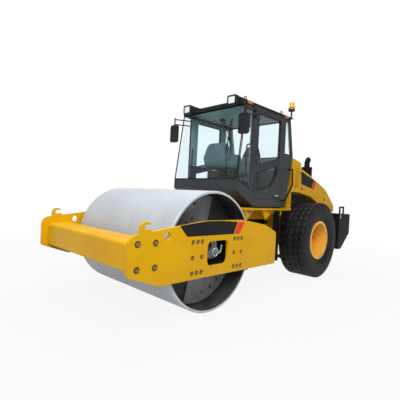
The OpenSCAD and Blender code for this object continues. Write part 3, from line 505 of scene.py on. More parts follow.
def tube(mesh, path, radius, sides=12):
    """Round tube through points, turned with the least twist from one ring to the next."""
    path = [Vector(p) for p in path]
    ahead = [(b - a).normalized() for a, b in zip(path, path[1:])]
    headings = [ahead[0]] + [(a + b).normalized() for a, b in zip(ahead, ahead[1:])] + [ahead[-1]]
    side = headings[0].orthogonal().normalized()
    rings = []
    for centre, along in zip(path, headings):
        side = (side - along * side.dot(along)).normalized()
        up = along.cross(side)
        spokes = [side * math.cos(a) + up * math.sin(a) for a in turns(sides)]
        rings.append([mesh.verts.new(centre + radius * spoke) for spoke in spokes])
    skin(mesh, rings)


def corner(before, at, after, radius, steps, most):
    """Points of a rounded corner, which takes up at most a share of each leg."""
    back, on = before - at, after - at
    reach = min(radius / math.tan(back.angle(on) / 2), back.length * most, on.length * most)
    start, end = at + back.normalized() * reach, at + on.normalized() * reach
    shares = [k / steps for k in range(steps + 1)]
    return [start * (1 - t) ** 2 + at * 2 * t * (1 - t) + end * t ** 2 for t in shares]


def bend(path, radius, steps=5):
    """Path with its inner corners rounded by a radius."""
    path = [Vector(p) for p in path]
    made = [path[0]]
    for before, at, after in zip(path, path[1:], path[2:]):
        made += corner(before, at, after, radius, steps, 0.49)
    return made + [path[-1]]


def route(start, legs, radius):
    """Bent path through points counted from a start."""
    return bend([start + Vector(leg) for leg in legs], radius)


def ring_band(mesh, outline, across, low, high, width):
    """Frame that follows a closed outline, width wide, pushed along an axis."""
    count = len(outline)
    points = [Vector((*p, 0)) for p in outline]
    area = sum(a.x * b.y - b.x * a.y for a, b in zip(points, points[1:] + points[:1]))
    inward = 1 if area > 0 else -1
    inner = []
    for k in range(count):
        back = (points[k] - points[k - 1]).normalized()
        on = (points[(k + 1) % count] - points[k]).normalized()
        normal = Vector((-(back + on).y, (back + on).x, 0)).normalized() * inward
        side = Vector((-back.y, back.x, 0)) * inward
        inner.append(points[k] + normal * width / max(normal.dot(side), 0.3))
    rings = [[mesh.verts.new(raised(across, p.x, p.y, w)) for p in line]
             for line, w in ((points, low), (points, high), (inner, high), (inner, low))]
    skin(mesh, rings + rings[:1], capped=False)


def rounded(outline, radius, steps=4):
    """Closed outline with its corners rounded."""
    points = [Vector(p) for p in outline]
    made = []
    for k, at in enumerate(points):
        made += corner(points[k - 1], at, points[(k + 1) % len(points)], radius, steps, 0.45)
    return [tuple(p) for p in made]


def oblong(half_u, half_v):
    return [(-half_u, -half_v), (half_u, -half_v), (half_u, half_v), (-half_u, half_v)]


def circle(x, z, radius, steps=28):
    return [(x + radius * math.cos(a), z + radius * math.sin(a)) for a in turns(steps)]


def placed(mesh, place, make):
    """Runs make, then moves what it added to the mesh by a matrix."""
    before = set(mesh.verts)
    make()
    bmesh.ops.transform(mesh, matrix=place, verts=[v for v in mesh.verts if v not in before])


def on_pane(low, high, across):
    """Frame on a leaning pane: X across it, Y up it and Z out of it."""
    across, up = Vector(across), (high - low).normalized()
    return Matrix.Translation(low) @ Matrix((across, up, across.cross(up))).transposed().to_4x4()


def moved(outline, x, z=0.0):
    return [(u + x, v + z) for u, v in outline]


# Finish of each CAD node

NODE_FINISHES = {
    "yellow_paint": ["yoke_side_left", "yoke_side_right", "yoke_front_beam", "yoke_rear_beam", "scrapers",
                     "rear_frame", "engine_cowl", "hood"],
    "rim_paint": ["rim_left", "rim_right"],
    "cab_paint": ["cab_floor", "cab_side_left", "cab_side_right", "door_left", "door_right"],
    "black_paint": ["rear_bumper", "access_steps", "grab_bars", "seat_base", "exhaust_stack",
                    "steering_barrel_left", "steering_barrel_right", "drum_supports", "rear_axle"],
    "drum_steel": ["drum_shell"],
    "cast_grey": ["hydraulic_motors", "hitch_block", "engine_block"],
    "rod_chrome": ["steering_rod_left", "steering_rod_right"],
    "tyre_rubber": ["tyre_left", "tyre_right"],
    "rubber": ["rubber_buffers", "cab_mounts"],
    "tinted_glass": ["cab_glass", "door_left_glass", "door_right_glass"],
    "amber_plastic": ["marker_lamps"],
    "black_plastic": ["console", "steering_wheel", "work_lamps", "beacon_base", "mirrors"],
    "seat_cloth": ["operator_seat"],
}


def dress(node, material):
    mesh = NODES[node].data
    mesh.materials.clear()
    mesh.materials.append(material)


for slot_name, nodes in NODE_FINISHES.items():
    for node_name in nodes:
        dress(node_name, FINISHES[slot_name])
dress("drum_ends", DARK_PAINT)
dress("cab_roof", ROOF_PAINT)
dress("drum_carriers", CARRIER_GREY)
dress("beacon_lens", BEACON_LENS)


# Front frame

FILM = 0.001
PLATE_BOLT = 0.030
PLATE_SEAT_R = 0.022
BEAM_BOLT = 0.040
BEAM_SEAT_R = 0.031
BOLT_SINK = 0.020
# Width of the dark ring round each bolt seat, which is a painted shadow
SHADE_RING = 0.005
# Turns each head unlike its neighbours, in radians a metre of X
HEAD_TURN = 9
BOLT_COLUMNS = (0.435, 0.36, 0.285, -0.31, -0.385, -0.46)
OUTER_COLUMNS = (0.435, 0.285, -0.31, -0.46)
BOLT_ROWS = ((0.917, BOLT_COLUMNS), (0.736, OUTER_COLUMNS), (0.557, BOLT_COLUMNS))
BEAM_BOLTS = [(x, z) for x in (1.19, 0.97) for z in (0.945, 0.69)]


def yoke_bolts():
    """Bolts sunk in the yoke plates, each with a dark ring round its seat: a painted shadow that makes the
    sunk seat read wider.
    """
    bolts, rings = bmesh.new(), bmesh.new()
    spots = [(x, z, PLATE_BOLT, PLATE_SEAT_R) for z, columns in BOLT_ROWS for x in columns]
    spots += [(x, z, BEAM_BOLT, BEAM_SEAT_R) for x, z in BEAM_BOLTS]
    for side in SIDES:
        for x, z, across, seat_r in spots:
            seat_at = drum_point(x, side * (PLATE_Y - BOLT_SINK), z)
            bolt(bolts, facing(seat_at, (0, side, 0), x * HEAD_TURN), across, washer=False)
            # Dark ring on the plate round the seat: a painted shadow
            edge = circle(DRUM.x + x, z, seat_r + SHADE_RING)
            ring_band(rings, edge, "Y", side * PLATE_Y, side * (PLATE_Y + FILM), SHADE_RING)
    piece("yoke_bolts", "front_frame", BOLT_STEEL, bolts)
    piece("yoke_bolt_shade_rings", "front_frame", "rubber", rings)


YOKE_DECAL = [(0.652, 1.112), (0.534, 0.986), (-0.288, 0.979), (-0.359, 1.136), (-0.05, 1.155), (0.24, 1.154)]
YOKE_STRIPE = [(-0.370, 1.128), (-0.298, 0.979), (-0.410, 0.979), (-0.519, 1.130)]
HOOD_DECAL = [(0.262, 2.026), (0.234, 1.776), (-0.199, 1.711), (-0.291, 1.886)]
HOOD_STRIPE = [(-0.301, 1.884), (-0.209, 1.709), (-0.288, 1.676), (-0.409, 1.861)]


def on_sides(name, body, material, outline, origin_x, face_y):
    """Film of one outline on the left and right face of a body."""
    mesh = bmesh.new()
    for side in SIDES:
        slab(mesh, moved(rounded(outline, 0.012), origin_x), "Y", side * face_y, side * (face_y + FILM))
    piece(name, body, material, mesh)


def decals():
    on_sides("yoke_panel", "front_frame", DECAL_BLACK, YOKE_DECAL, DRUM.x, PLATE_Y)
    on_sides("yoke_stripe", "front_frame", DECAL_RED, YOKE_STRIPE, DRUM.x, PLATE_Y)
    on_sides("hood_panel", "hood", DECAL_BLACK, HOOD_DECAL, AXLE.x, HOOD_Y)
    on_sides("hood_stripe", "hood", DECAL_RED, HOOD_STRIPE, AXLE.x, HOOD_Y)


WELD_INSET = 0.03
WELD_STEPS = 40


def welds():
    """Weld beads where the cross beams meet the yoke plates."""
    mesh = bmesh.new()
    beam_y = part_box("yoke_front_beam")[1].y
    for node in ("yoke_front_beam", "yoke_rear_beam"):
        low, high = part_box(node)
        length = high.x - low.x - 2 * WELD_INSET
        xs = [low.x + WELD_INSET + length * k / WELD_STEPS for k in range(WELD_STEPS + 1)]
        for side, z in itertools.product(SIDES, (low.z, high.z)):
            path = [(x, side * (beam_y - 0.002), z + 0.0015 * math.sin(k * 2.4)) for k, x in enumerate(xs)]
            tube(mesh, path, 0.009, 8)
    piece("yoke_welds", "front_frame", "yellow_paint", mesh)


MOTOR_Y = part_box("hydraulic_motors")[1].y
COVER_BOLTS = 8
COVER_CIRCLE = 0.047
COVER_TURN = 0.2
PORTS_X = (-0.028, 0.028)
PORT = [(0.017, 0), (0.017, 0.02), (0.013, 0.024), (0.013, 0.05)]


def motor_cover(castings, fittings, side):
    """Round cover with its bolts, and the valve block beside it."""
    face = facing(drum_point(0, side * MOTOR_Y, DRUM.z), (0, side, 0))
    disc(castings, face, 0.060, 0.014, 0.004, 40)
    disc(castings, face, 0.030, 0.026, 0.004, 32)
    for turn in turns(COVER_BOLTS):
        angle = turn + COVER_TURN
        spot = round_drum(COVER_CIRCLE, angle, side * (MOTOR_Y + 0.013))
        bolt(fittings, facing(spot, (0, side, 0), angle), 0.012)
    box(castings, drum_point(0.062, side * MOTOR_Y - 0.02, DRUM.z - 0.06),
        drum_point(0.125, side * MOTOR_Y + 0.012, DRUM.z + 0.03), 0.006)


def motor_pipes(fittings, side):
    """Ports with steel pipes that lead back, and an elbow."""
    for k, x in enumerate(PORTS_X):
        start = drum_point(x, side * (MOTOR_Y - 0.03), DRUM.z + 0.10)
        revolve(fittings, PORT, facing(start, (0, 0, 1)), 12)
        back = -0.16 - 0.05 * k
        legs = [(0, 0, 0.03), (0, 0, 0.075), (back, 0, 0.075), (back - 0.05, -side * 0.08, 0.075)]
        tube(fittings, route(start, legs, 0.03), 0.010)
    elbow = drum_point(-0.06, side * (MOTOR_Y - 0.01), DRUM.z - 0.02)
    tube(fittings, route(elbow, [(0, 0, 0), (-0.055, 0, 0), (-0.075, 0, 0.10)], 0.03), 0.014)


def motor_fittings():
    """Covers, valve blocks, ports and pipes on the hydraulic motors in the yoke's windows."""
    castings, fittings = bmesh.new(), bmesh.new()
    for side in SIDES:
        motor_cover(castings, fittings, side)
        motor_pipes(fittings, side)
    piece("motor_covers", "front_frame", "cast_grey", castings)
    piece("motor_fittings", "front_frame", "rod_chrome", fittings)


# Rows of bolts on a carrier: radius, count and first angle
CARRIER_ROWS = ((0.60, 5, 0.35), (0.42, 4, 0.45))
CARRIER_STEP = 0.26
CARRIER_BOLT = 0.026
FLANGE_BOLTS = 12
FLANGE_CIRCLE = 0.165
FLANGE_TURN = 0.1
FLANGE_BOLT = 0.022


def carrier_bolts():
    """Bolts on the two drive carriers and round the stub flange at each end of the drum."""
    mesh = bmesh.new()
    face_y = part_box("drum_carriers")[1].y
    spots = [(radius, start + k * CARRIER_STEP + turn, CARRIER_BOLT)
             for radius, count, start in CARRIER_ROWS for k in range(count) for turn in (0, math.pi)]
    spots += [(FLANGE_CIRCLE, turn + FLANGE_TURN, FLANGE_BOLT) for turn in turns(FLANGE_BOLTS)]
    for side in SIDES:
        for radius, angle, across in spots:
            bolt(mesh, facing(round_drum(radius, angle, side * face_y), (0, side, 0), angle), across)
    piece("carrier_bolts", "drum", BOLT_STEEL, mesh)


# Wheels

FLANGE_R = (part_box("rim_left")[1] - AXLE).z
RIM_W = 2 * (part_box("rim_left")[1] - AXLE).y
DISC_Y = AXLE.y - 0.085
HUB_Y = AXLE.y - 0.050
NUT_CIRCLE = 0.215
TREAD_BLOCKS = 36
GROOVE_R = TYRE_R - 0.028
SKEW = math.tan(math.radians(25)) * TREAD_BLOCKS / (2 * math.pi * TYRE_R)
# Share of a pitch, and whether the tread is cut there
TREAD_STATIONS = ((0.0, 0), (0.28, 0), (0.56, 0), (0.84, 0), (0.88, 1), (0.96, 1))
# Ribs of blocks from the middle out: inner edge, outer edge, turn in pitches
TREAD_RIBS = ((0.0, 0.050, 0.0), (0.064, 0.142, 0.5), (0.156, TYRE_W / 2 - 0.030, 0.0))
# Round the shoulder: drop of a block, drop in a slot, and inset from the wall
SHOULDER = ((0.014, 0.040, 0.024), (0.040, 0.062, 0.015), (0.070, 0.086, 0.008), (0.098, 0.104, 0.004),
            (0.125, 0.125, 0.002))
WHEEL_NUTS = 12
HUB_BOLTS = 8
HUB_COVER = [(0.125, 0), (0.125, 0.012), (0.112, 0.020), (0.072, 0.020), (0.064, 0.034), (0.05, 0.038),
             (0, 0.039)]
VALVE = [(0.26, 0, 0), (0.26, 0, 0.045), (0.275, 0.01, 0.075)]


def tread_rows():
    """Rows across the tyre: radius on a block, radius in a slot, place across and turn in pitches."""
    side = TYRE_W / 2
    wall = FLANGE_R + 0.14
    half = []
    for inner, outer, turn in TREAD_RIBS:
        half += [(GROOVE_R, GROOVE_R, inner, turn)] if inner else []
        half += [(TYRE_R - drop, GROOVE_R, y, turn) for drop, y in (
            (0.003, inner + 0.001), (0.0, inner + 0.005), (0.0, outer - 0.005), (0.003, outer - 0.001))]
        half += [(GROOVE_R, GROOVE_R, outer, turn)] if outer < 0.2 else []
    half += [(TYRE_R - block, TYRE_R - slot, side - y, 0.0) for block, slot, y in SHOULDER]
    half += [(r, r, y, 0.0) for r, y in (
        (wall + 0.03, side), (wall - 0.03, side - 0.002), (FLANGE_R + 0.06, side - 0.022),
        (FLANGE_R + 0.01, RIM_W / 2 - 0.016), (FLANGE_R - 0.03, RIM_W / 2 - 0.016))]
    both = half + [(block, slot, -y, turn) for block, slot, y, turn in reversed(half)]
    reach = side - 0.030
    return [(block, slot, y, turn + SKEW * max(-reach, min(reach, y))) for block, slot, y, turn in both]


def tyres():
    """Tyres with staggered, skewed blocks and round shoulders."""
    for side, name in SIDE_NAMES:
        mesh = bmesh.new()
        rings = []
        for block_r, slot_r, y, turn in tread_rows():
            ring = []
            for k in range(TREAD_BLOCKS):
                for share, cut in TREAD_STATIONS:
                    angle = 2 * math.pi * (k + share + turn) / TREAD_BLOCKS
                    radius = slot_r if cut else block_r
                    ring.append(mesh.verts.new((AXLE.x - radius * math.sin(angle), side * (AXLE.y + y),
                                                AXLE.z - radius * math.cos(angle))))
            rings.append(ring)
        skin(mesh, rings + rings[:1], capped=False)
        made = piece(f"tyre_tread_{name}", f"wheel_{name}", "tyre_rubber", mesh, 40)
        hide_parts(f"tyre_{name}")


def wheel_fittings():
    """Wheel nuts on their studs, hub cover and valve of each rear wheel."""
    for side, name in SIDE_NAMES:
        nuts, cover = bmesh.new(), bmesh.new()
        face = facing(Vector((AXLE.x, side * DISC_Y, AXLE.z)), (0, side, 0))
        hub = facing(Vector((AXLE.x, side * HUB_Y, AXLE.z)), (0, side, 0))
        for spot in spots_round(face, WHEEL_NUTS, NUT_CIRCLE):
            bolt(nuts, spot, 0.032)
            disc(nuts, spot, 0.009, 0.034, 0.002, 12)
        revolve(cover, HUB_COVER, hub, 48)
        for spot in spots_round(hub, HUB_BOLTS, 0.096, 0.020):
            bolt(nuts, spot, 0.014)
        placed(nuts, face, lambda: tube(nuts, bend(VALVE, 0.02), 0.006))
        piece(f"wheel_nuts_{name}", f"wheel_{name}", BOLT_STEEL, nuts)
        piece(f"hub_cover_{name}", f"wheel_{name}", "rim_paint", cover)


# Cab outside

PANE_Y = CAB_Y - 0.025
SEAL = 0.014
# Where a printed border begins and ends, counted out from the glass
BORDER = (-0.0005, 0.0015)
BORDER_W = 0.022
SCREEN_HALF = 0.712
REAR_HALF = 0.665
DOOR_PANES = (([(1.062, 2.1605), (1.730, 1.9935), (1.730, 2.835), (1.062, 2.835)], 0.030),
              ([(1.730, 1.580), (1.730, 1.8785), (1.112, 2.033), (1.122, 1.870), (1.282, 1.655)], 0.040))
QUARTER_PANE = [(0.914, 2.270), (0.914, 2.860), (0.7825, 2.860), (0.664, 2.270)]
SCREEN_SIDE = [(2.225, 1.726), (2.069, 2.905), (1.885, 2.905), (1.885, 1.591)]
SCREEN_LOW, SCREEN_HIGH = axle_point(2.225, 0, 1.726), axle_point(2.069, 0, 2.905)
REAR_LOW, REAR_HIGH = axle_point(0.610, 0, 2.250), axle_point(0.7465, 0, 2.905)
SCREEN = on_pane(SCREEN_LOW, SCREEN_HIGH, (0, 1, 0))
REAR_PANE = on_pane(REAR_LOW, REAR_HIGH, (0, -1, 0))


def window_seals():
    """Rubber seals in the doors' cut-outs, and the dark borders of the fixed panes."""
    for side, name in SIDE_NAMES:
        mesh = bmesh.new()
        for outline, radius in DOOR_PANES:
            ring_band(mesh, moved(rounded(outline, radius), AXLE.x), "Y",
                      side * (PANE_Y - 0.012), side * (CAB_Y + 0.003), SEAL)
        piece(f"door_seals_{name}", f"door_{name}", "rubber", mesh)
    mesh = bmesh.new()
    for side in SIDES:
        for outline in (QUARTER_PANE, SCREEN_SIDE):
            low, high = (side * (CAB_Y + out) for out in BORDER)
            ring_band(mesh, moved(outline, AXLE.x), "Y", low, high, SEAL)
    for place, low, high, half in ((SCREEN, SCREEN_LOW, SCREEN_HIGH, SCREEN_HALF),
                                   (REAR_PANE, REAR_LOW, REAR_HIGH, REAR_HALF)):
        tall = (high - low).length
        edge = [(-half, 0), (half, 0), (half, tall), (-half, tall)]
        placed(mesh, place, lambda: ring_band(mesh, edge, "Z", *BORDER, BORDER_W))
    piece("pane_borders", "rear", "rubber", mesh)


WIPER_ARMS = (((0.240, 0.985), (0.459, 0.637)), ((0.308, 0.975), (0.478, 0.676)))
WIPER_BLADE = ((0.478, 0.969), (0.441, 0.407))


def wiper():
    """Wiper on two arms that hangs from the windscreen's upper edge."""
    mesh = bmesh.new()

    def parts():
        for pivot, end in WIPER_ARMS:
            disc(mesh, Matrix.Translation((*pivot, 0.0)), 0.016, 0.042, 0.003)
            tube(mesh, [(*pivot, 0.034), (*end, 0.028)], 0.006, 10)
            disc(mesh, Matrix.Translation((*end, 0.012)), 0.010, 0.022, 0.002)
        for height, radius in ((0.022, 0.008), (0.009, 0.005)):
            tube(mesh, [(*end, height) for end in WIPER_BLADE], radius, 8)
    placed(mesh, SCREEN, parts)
    piece("wiper", "rear", "black_plastic", mesh)


LAMP_Y = 0.510
LAMP_Z = 2.967
MIRROR_AT = (2.190, 0.795, 2.564)
MIRROR_HALF = (0.078, 0.143)
ROOF_RINGS = [(x, y) for x in (2.00, 0.93) for y in (0.63, -0.63)]


def lamp_lenses():
    """Lenses at the front and the back of the work lamps."""
    mesh = bmesh.new()
    rear, front = (end.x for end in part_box("work_lamps"))
    for side in SIDES:
        y = side * LAMP_Y
        for x0, x1, half, low, high, soft in ((front - 0.016, front - 0.004, 0.0645, 0.052, 0.052, 0.005),
                                              (rear - 0.003, rear + 0.003, 0.062, 0.030, 0.050, 0.002)):
            box(mesh, (x0, y - half, LAMP_Z - low), (x1, y + half, LAMP_Z + high), soft)
    piece("work_lenses", "rear", CLEAR_LENS, mesh)


def mirror_faces():
    mesh = bmesh.new()
    x, out, z = MIRROR_AT
    for side in SIDES:
        outline = moved(rounded(oblong(*MIRROR_HALF), 0.03), side * out, z)
        slab(mesh, outline, "X", AXLE.x + x - 0.003, AXLE.x + x + 0.001)
    piece("mirror_faces", "rear", MIRROR, mesh)


def roof_rings():
    """Lifting rings on the roof, and a ring round the beacon's lens."""
    mesh = bmesh.new()
    for x, y in ROOF_RINGS:
        foot = axle_point(x, y, ROOF_TOP)
        disc(mesh, facing(foot, (0, 0, 1)), 0.022, 0.010, 0.002)
        loop = [foot + Vector((0.028 * math.sin(a), 0, 0.034 - 0.028 * math.cos(a)))
                for a in turns(24) + [2 * math.pi]]
        tube(mesh, loop, 0.007, 10)
    low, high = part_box("beacon_lens")
    centre = Vector(((low.x + high.x) / 2, (low.y + high.y) / 2, low.z + 0.012))
    collar(mesh, Matrix.Translation(centre), (high.x - low.x) / 2, 0.012)
    piece("roof_rings", "rear", "black_paint", mesh)


HANDLE_CUP = moved(rounded(oblong(0.075, 0.0185), 0.008), AXLE.x + 1.121, 1.5225)


def door_handles():
    """Chrome lever in a plastic cup on each door."""
    for side, name in SIDE_NAMES:
        lever, cup = bmesh.new(), bmesh.new()
        y = side * (CAB_Y + 0.012)
        box(lever, axle_point(1.062, y, 1.511), axle_point(1.178, y + side * 0.012, 1.534), 0.004)
        disc(lever, facing(axle_point(1.188, y, 1.522), (0, side, 0)), 0.009, 0.006)
        ring_band(cup, HANDLE_CUP, "Y", y, y + side * 0.003, 0.005)
        piece(f"door_lever_{name}", f"door_{name}", "rod_chrome", lever)
        piece(f"door_cup_{name}", f"door_{name}", "black_plastic", cup)


# Cab inside

SEAT_X = 1.200
FLOOR_Z = 1.360
SEAT_FRAME = on_pane(axle_point(SEAT_X, 0, 1.795), axle_point(SEAT_X - 0.24, 0, 1.795), (0, -1, 0))
BACK_FRAME = on_pane(axle_point(1.015, 0, 1.860), axle_point(0.930, 0, 2.470), (0, 1, 0))
VOXEL = 0.006
SWELL = 0.024
CLOTH_FRAMES = 20
PRESSURE = 4
# Pads of the seat: name, frame, outline, back and front
SEAT_PADS = (
    ("seat_cushion", SEAT_FRAME, oblong(0.215, 0.215), -0.050, 0.036),
    ("seat_back", BACK_FRAME, [(-0.215, 0.02), (0.215, 0.02), (0.185, 0.40), (-0.185, 0.40)], -0.030, 0.030),
    ("seat_headrest", BACK_FRAME, [(-0.13, 0.43), (0.13, 0.43), (0.11, 0.575), (-0.11, 0.575)],
     -0.030, 0.022))
SHELL_BACK = [(-0.235, -0.10), (0.235, -0.10), (0.205, 0.42), (0.13, 0.60), (-0.13, 0.60), (-0.205, 0.42)]
ARM_Y = 0.262
ARM_LEGS = [(0.99, 0, 1.86), (0.965, 0, 2.03), (1.25, 0, 2.03)]
# Seams: frame, half of the distance between them, start, end, height at the ends and in the middle
SEAMS = ((SEAT_FRAME, 0.12, -0.17, 0.17, 0.048, 0.056), (BACK_FRAME, 0.11, 0.06, 0.36, 0.044, 0.050))


def evaluated(made):
    """Mesh of an object with its modifiers applied."""
    return bpy.data.meshes.new_from_object(made.evaluated_get(bpy.context.evaluated_depsgraph_get()))


def pad_mesh(outline, low, high):
    """Pad with a rounded outline and soft edges, in the frame of the seat."""
    mesh = bmesh.new()
    slab(mesh, rounded(outline, 0.06, 6), "Z", low, high)
    flat = [edge for edge in mesh.edges if abs(edge.verts[0].co.z - edge.verts[1].co.z) < 1e-6]
    bmesh.ops.bevel(mesh, geom=flat, offset=(high - low) * 0.35, segments=4, profile=0.6, affect="EDGES")
    return mesh


def inflate(made):
    """Gives a pad an even mesh and cloth with pressure, held at its back. Returns where its points start."""
    remesh = made.modifiers.new("voxels", "REMESH")
    remesh.mode = "VOXEL"
    remesh.voxel_size = VOXEL
    made.data = evaluated(made)
    made.modifiers.clear()
    low = min(v.co.z for v in made.data.vertices)
    held = made.vertex_groups.new(name="held")
    held.add([v.index for v in made.data.vertices if v.co.z < low + VOXEL], 1.0, "REPLACE")
    cloth_sim = made.modifiers.new("pressure", "CLOTH")
    cloth_sim.settings.use_pressure = True
    cloth_sim.settings.uniform_pressure_force = PRESSURE
    cloth_sim.settings.vertex_group_mass = "held"
    cloth_sim.settings.effector_weights.gravity = 0
    cloth_sim.collision_settings.use_collision = False
    cloth_sim.point_cache.frame_end = CLOTH_FRAMES
    return [v.co.copy() for v in made.data.vertices]


def swell(pads):
    """Blows the pads up with Blender's cloth, and keeps each point within reach of its start."""
    starts = [inflate(made) for made in pads]
    for step in range(1, CLOTH_FRAMES + 1):
        scene.frame_set(step)
    for made, points in zip(pads, starts):
        blown = evaluated(made)
        made.modifiers.clear()
        made.vertex_groups.clear()
        for vert, start in zip(blown.vertices, points):
            shift = vert.co - start
            if shift.length > SWELL:
                vert.co = start + shift.normalized() * SWELL
        made.data = blown
    scene.frame_set(1)


def seat_pads():
    """Cushion, back pad and headrest, crowned by the pressure under their cloth."""
    pads = [piece(name, "rear", "seat_cloth", pad_mesh(outline, low, high), 60)
            for name, _, outline, low, high in SEAT_PADS]
    swell(pads)
    for made, (_, place, *_) in zip(pads, SEAT_PADS):
        made.modifiers.new("smooth", "SUBSURF").levels = 1
        made.data = evaluated(made)
        made.modifiers.clear()
        made.data.transform(place)
        made.data.polygons.foreach_set("use_smooth", [True] * len(made.data.polygons))


def seat_shell():
    """Moulded shell under the pads, with armrests."""
    shell = bmesh.new()
    placed(shell, BACK_FRAME, lambda: slab(shell, rounded(SHELL_BACK, 0.05), "Z", -0.052, -0.028))
    placed(shell, SEAT_FRAME, lambda: slab(shell, rounded(oblong(0.235, 0.235), 0.05), "Z", -0.055, -0.042))
    for side in SIDES:
        arm = axle_point(0, side * ARM_Y, 0)
        tube(shell, route(arm, ARM_LEGS, 0.04), 0.012)
        box(shell, arm + Vector((1.01, -0.026, 2.036)), arm + Vector((1.27, 0.026, 2.072)), 0.012)
    made = piece("seat_shell", "rear", "black_plastic", shell)
    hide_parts("operator_seat")


def seat_seams():
    """Sewn seams along the cushion and the back pad."""
    mesh = bmesh.new()
    for place, half, start, end, low, high in SEAMS:
        for x in (-half, half):
            line = bend([(x, start, low), (x, (start + end) / 2, high), (x, end, low)], 0.8, 8)
            placed(mesh, place, lambda: tube(mesh, line, 0.0035, 8))
    piece("seat_seams", "rear", "black_plastic", mesh)


# Outline of the instrument cowl across the cab, and its rings from the recessed face to the domed front
COWL_OUTLINE = [(-0.23, -0.21), (0.23, -0.21), (0.29, 0.0), (0.17, 0.25), (-0.17, 0.25), (-0.29, 0.0)]
COWL_RINGS = ((0.055, 0.88), (0.006, 0.92), (0.0, 0.96), (0.006, 1.0), (0.080, 1.0), (0.130, 0.95),
              (0.165, 0.84), (0.185, 0.68), (0.192, 0.45))
COWL_AT = axle_point(1.810, -0.010, 2.130)
POD_AT = axle_point(1.830, 0.360, 2.030)
POD_SIZE = 0.52
COWL_STAND = [(1.830, 1.405), (1.950, 1.470), (1.950, 1.900), (1.830, 1.900)]
# Gauges: Y from the cowl's middle, and radius
GAUGES = ((-0.14, 0.055), (0.0, 0.045), (0.14, 0.055))
GAUGE_Z = 0.08
SIDE_TOP = FLOOR_Z + 0.52
# Levers: X, Y and lean of the top
LEVERS = ((1.40, -0.44, 0.05), (1.27, -0.40, 0.0), (1.27, -0.48, 0.02))
LEVER_BOOT = [(0.032, 0), (0.030, 0.012), (0.018, 0.030), (0.010, 0.045)]
LEVER_KNOB = [(0.008, -0.008), (0.018, 0.004), (0.022, 0.022), (0.018, 0.042), (0, 0.050)]
MAT_RIBS = 24


def cowl(mesh, spot, size):
    """Hooded cowl: an outline drawn out forward, with a recessed face behind and a domed front."""
    shape = rounded(COWL_OUTLINE, 0.10, 6)
    rings = [[mesh.verts.new(spot + size * Vector((ahead, share * y, share * z))) for y, z in shape]
             for ahead, share in COWL_RINGS]
    skin(mesh, rings)


def instruments():
    """Instrument cowl ahead of the steering wheel with three blank gauges, and a smaller pod beside it."""
    hoods, stands, dials = bmesh.new(), bmesh.new(), bmesh.new()
    for spot, size, half in ((COWL_AT, 1.0, 0.150), (POD_AT, POD_SIZE, 0.060)):
        cowl(hoods, spot, size)
        slab(stands, moved(COWL_STAND, AXLE.x), "Y", spot.y - half, spot.y + half)
    for y, radius in GAUGES:
        face = facing(COWL_AT + Vector((COWL_RINGS[0][0], y, GAUGE_Z)), (-1, 0, 0))
        bezel = [(radius + 0.006, 0), (radius + 0.006, 0.008), (radius, 0.010), (radius - 0.002, 0.002)]
        revolve(stands, bezel, face, 32)
        disc(dials, face @ Matrix.Translation((0, 0, 0.001)), radius - 0.003, 0.002, 0.0005, 32)
    piece("instrument_cowl", "rear", DASH_GREY, hoods)
    piece("cowl_stands", "rear", "black_plastic", stands)
    piece("gauges", "rear", CLEAR_LENS, dials)


def levers():
    """Levers with boots and knobs on the console beside the seat."""
    mesh = bmesh.new()
    for x, y, lean in LEVERS:
        foot = axle_point(x, y, SIDE_TOP)
        top = foot + Vector((lean, 0, 0.16))
        revolve(mesh, LEVER_BOOT, facing(foot, (0, 0, 1)), 20)
        tube(mesh, [foot + Vector((0, 0, 0.03)), top], 0.007, 10)
        revolve(mesh, LEVER_KNOB, facing(top, (lean, 0, 0.2)), 20)
    piece("levers", "rear", "black_plastic", mesh)


def pedals():
    """Two pedals with ribbed treads."""
    mesh = bmesh.new()

    def pedal():
        box(mesh, (-0.045, 0, -0.006), (0.045, 0.14, 0.006), 0.004)
        for k in range(5):
            y = 0.02 + k * 0.025
            box(mesh, (-0.04, y, 0.005), (0.04, y + 0.008, 0.010), 0.001)
    for y in (-0.20, 0.20):
        low, high = axle_point(1.66, y, FLOOR_Z + 0.03), axle_point(1.74, y, FLOOR_Z + 0.15)
        placed(mesh, on_pane(low, high, (0, -1, 0)), pedal)
    piece("pedals", "rear", "black_plastic", mesh)


def floor_mat():
    """Rubber mat with raised ribs."""
    mesh = bmesh.new()
    box(mesh, axle_point(0.87, -0.66, FLOOR_Z), axle_point(1.73, 0.66, FLOOR_Z + 0.004), 0.001)
    for k in range(MAT_RIBS):
        rib = axle_point(0.89, -0.64 + k * 1.28 / (MAT_RIBS - 1) - 0.008, FLOOR_Z + 0.003)
        box(mesh, rib, rib + Vector((0.82, 0.016, 0.004)), 0.001)
    piece("floor_mat", "rear", "rubber", mesh)


def cab_rails():
    """Hand rails inside the front posts and padded trim along the roof."""
    mesh = bmesh.new()
    for side in SIDES:
        y = side * (CAB_Y - 0.062)
        post = axle_point(1.86, y, 0)
        legs = [(0, 0, 1.78), (0.04, -side * 0.03, 1.80), (0.04, -side * 0.03, 2.30), (0, 0, 2.32)]
        tube(mesh, route(post, legs, 0.03), 0.012)
        trim_end = axle_point(2.00, y - side * 0.05, ROOF_LOW - 0.004)
        box(mesh, axle_point(0.80, y, ROOF_LOW - 0.045), trim_end, 0.012)
    piece("cab_rails", "rear", "black_plastic", mesh)


# Hood, bumper and steps

HOOD_TAIL = -1.370
TAIL_LAMP = (0.560, 1.330)
HOOD_CATCHES = ((0.20, 1.690), (-0.80, 1.500))
STACK = axle_point(-0.58, 0.40, 0)
# Clamps on the exhaust stack: height and radius
STACK_CLAMPS = ((2.150, 0.110), (2.215, 0.056))


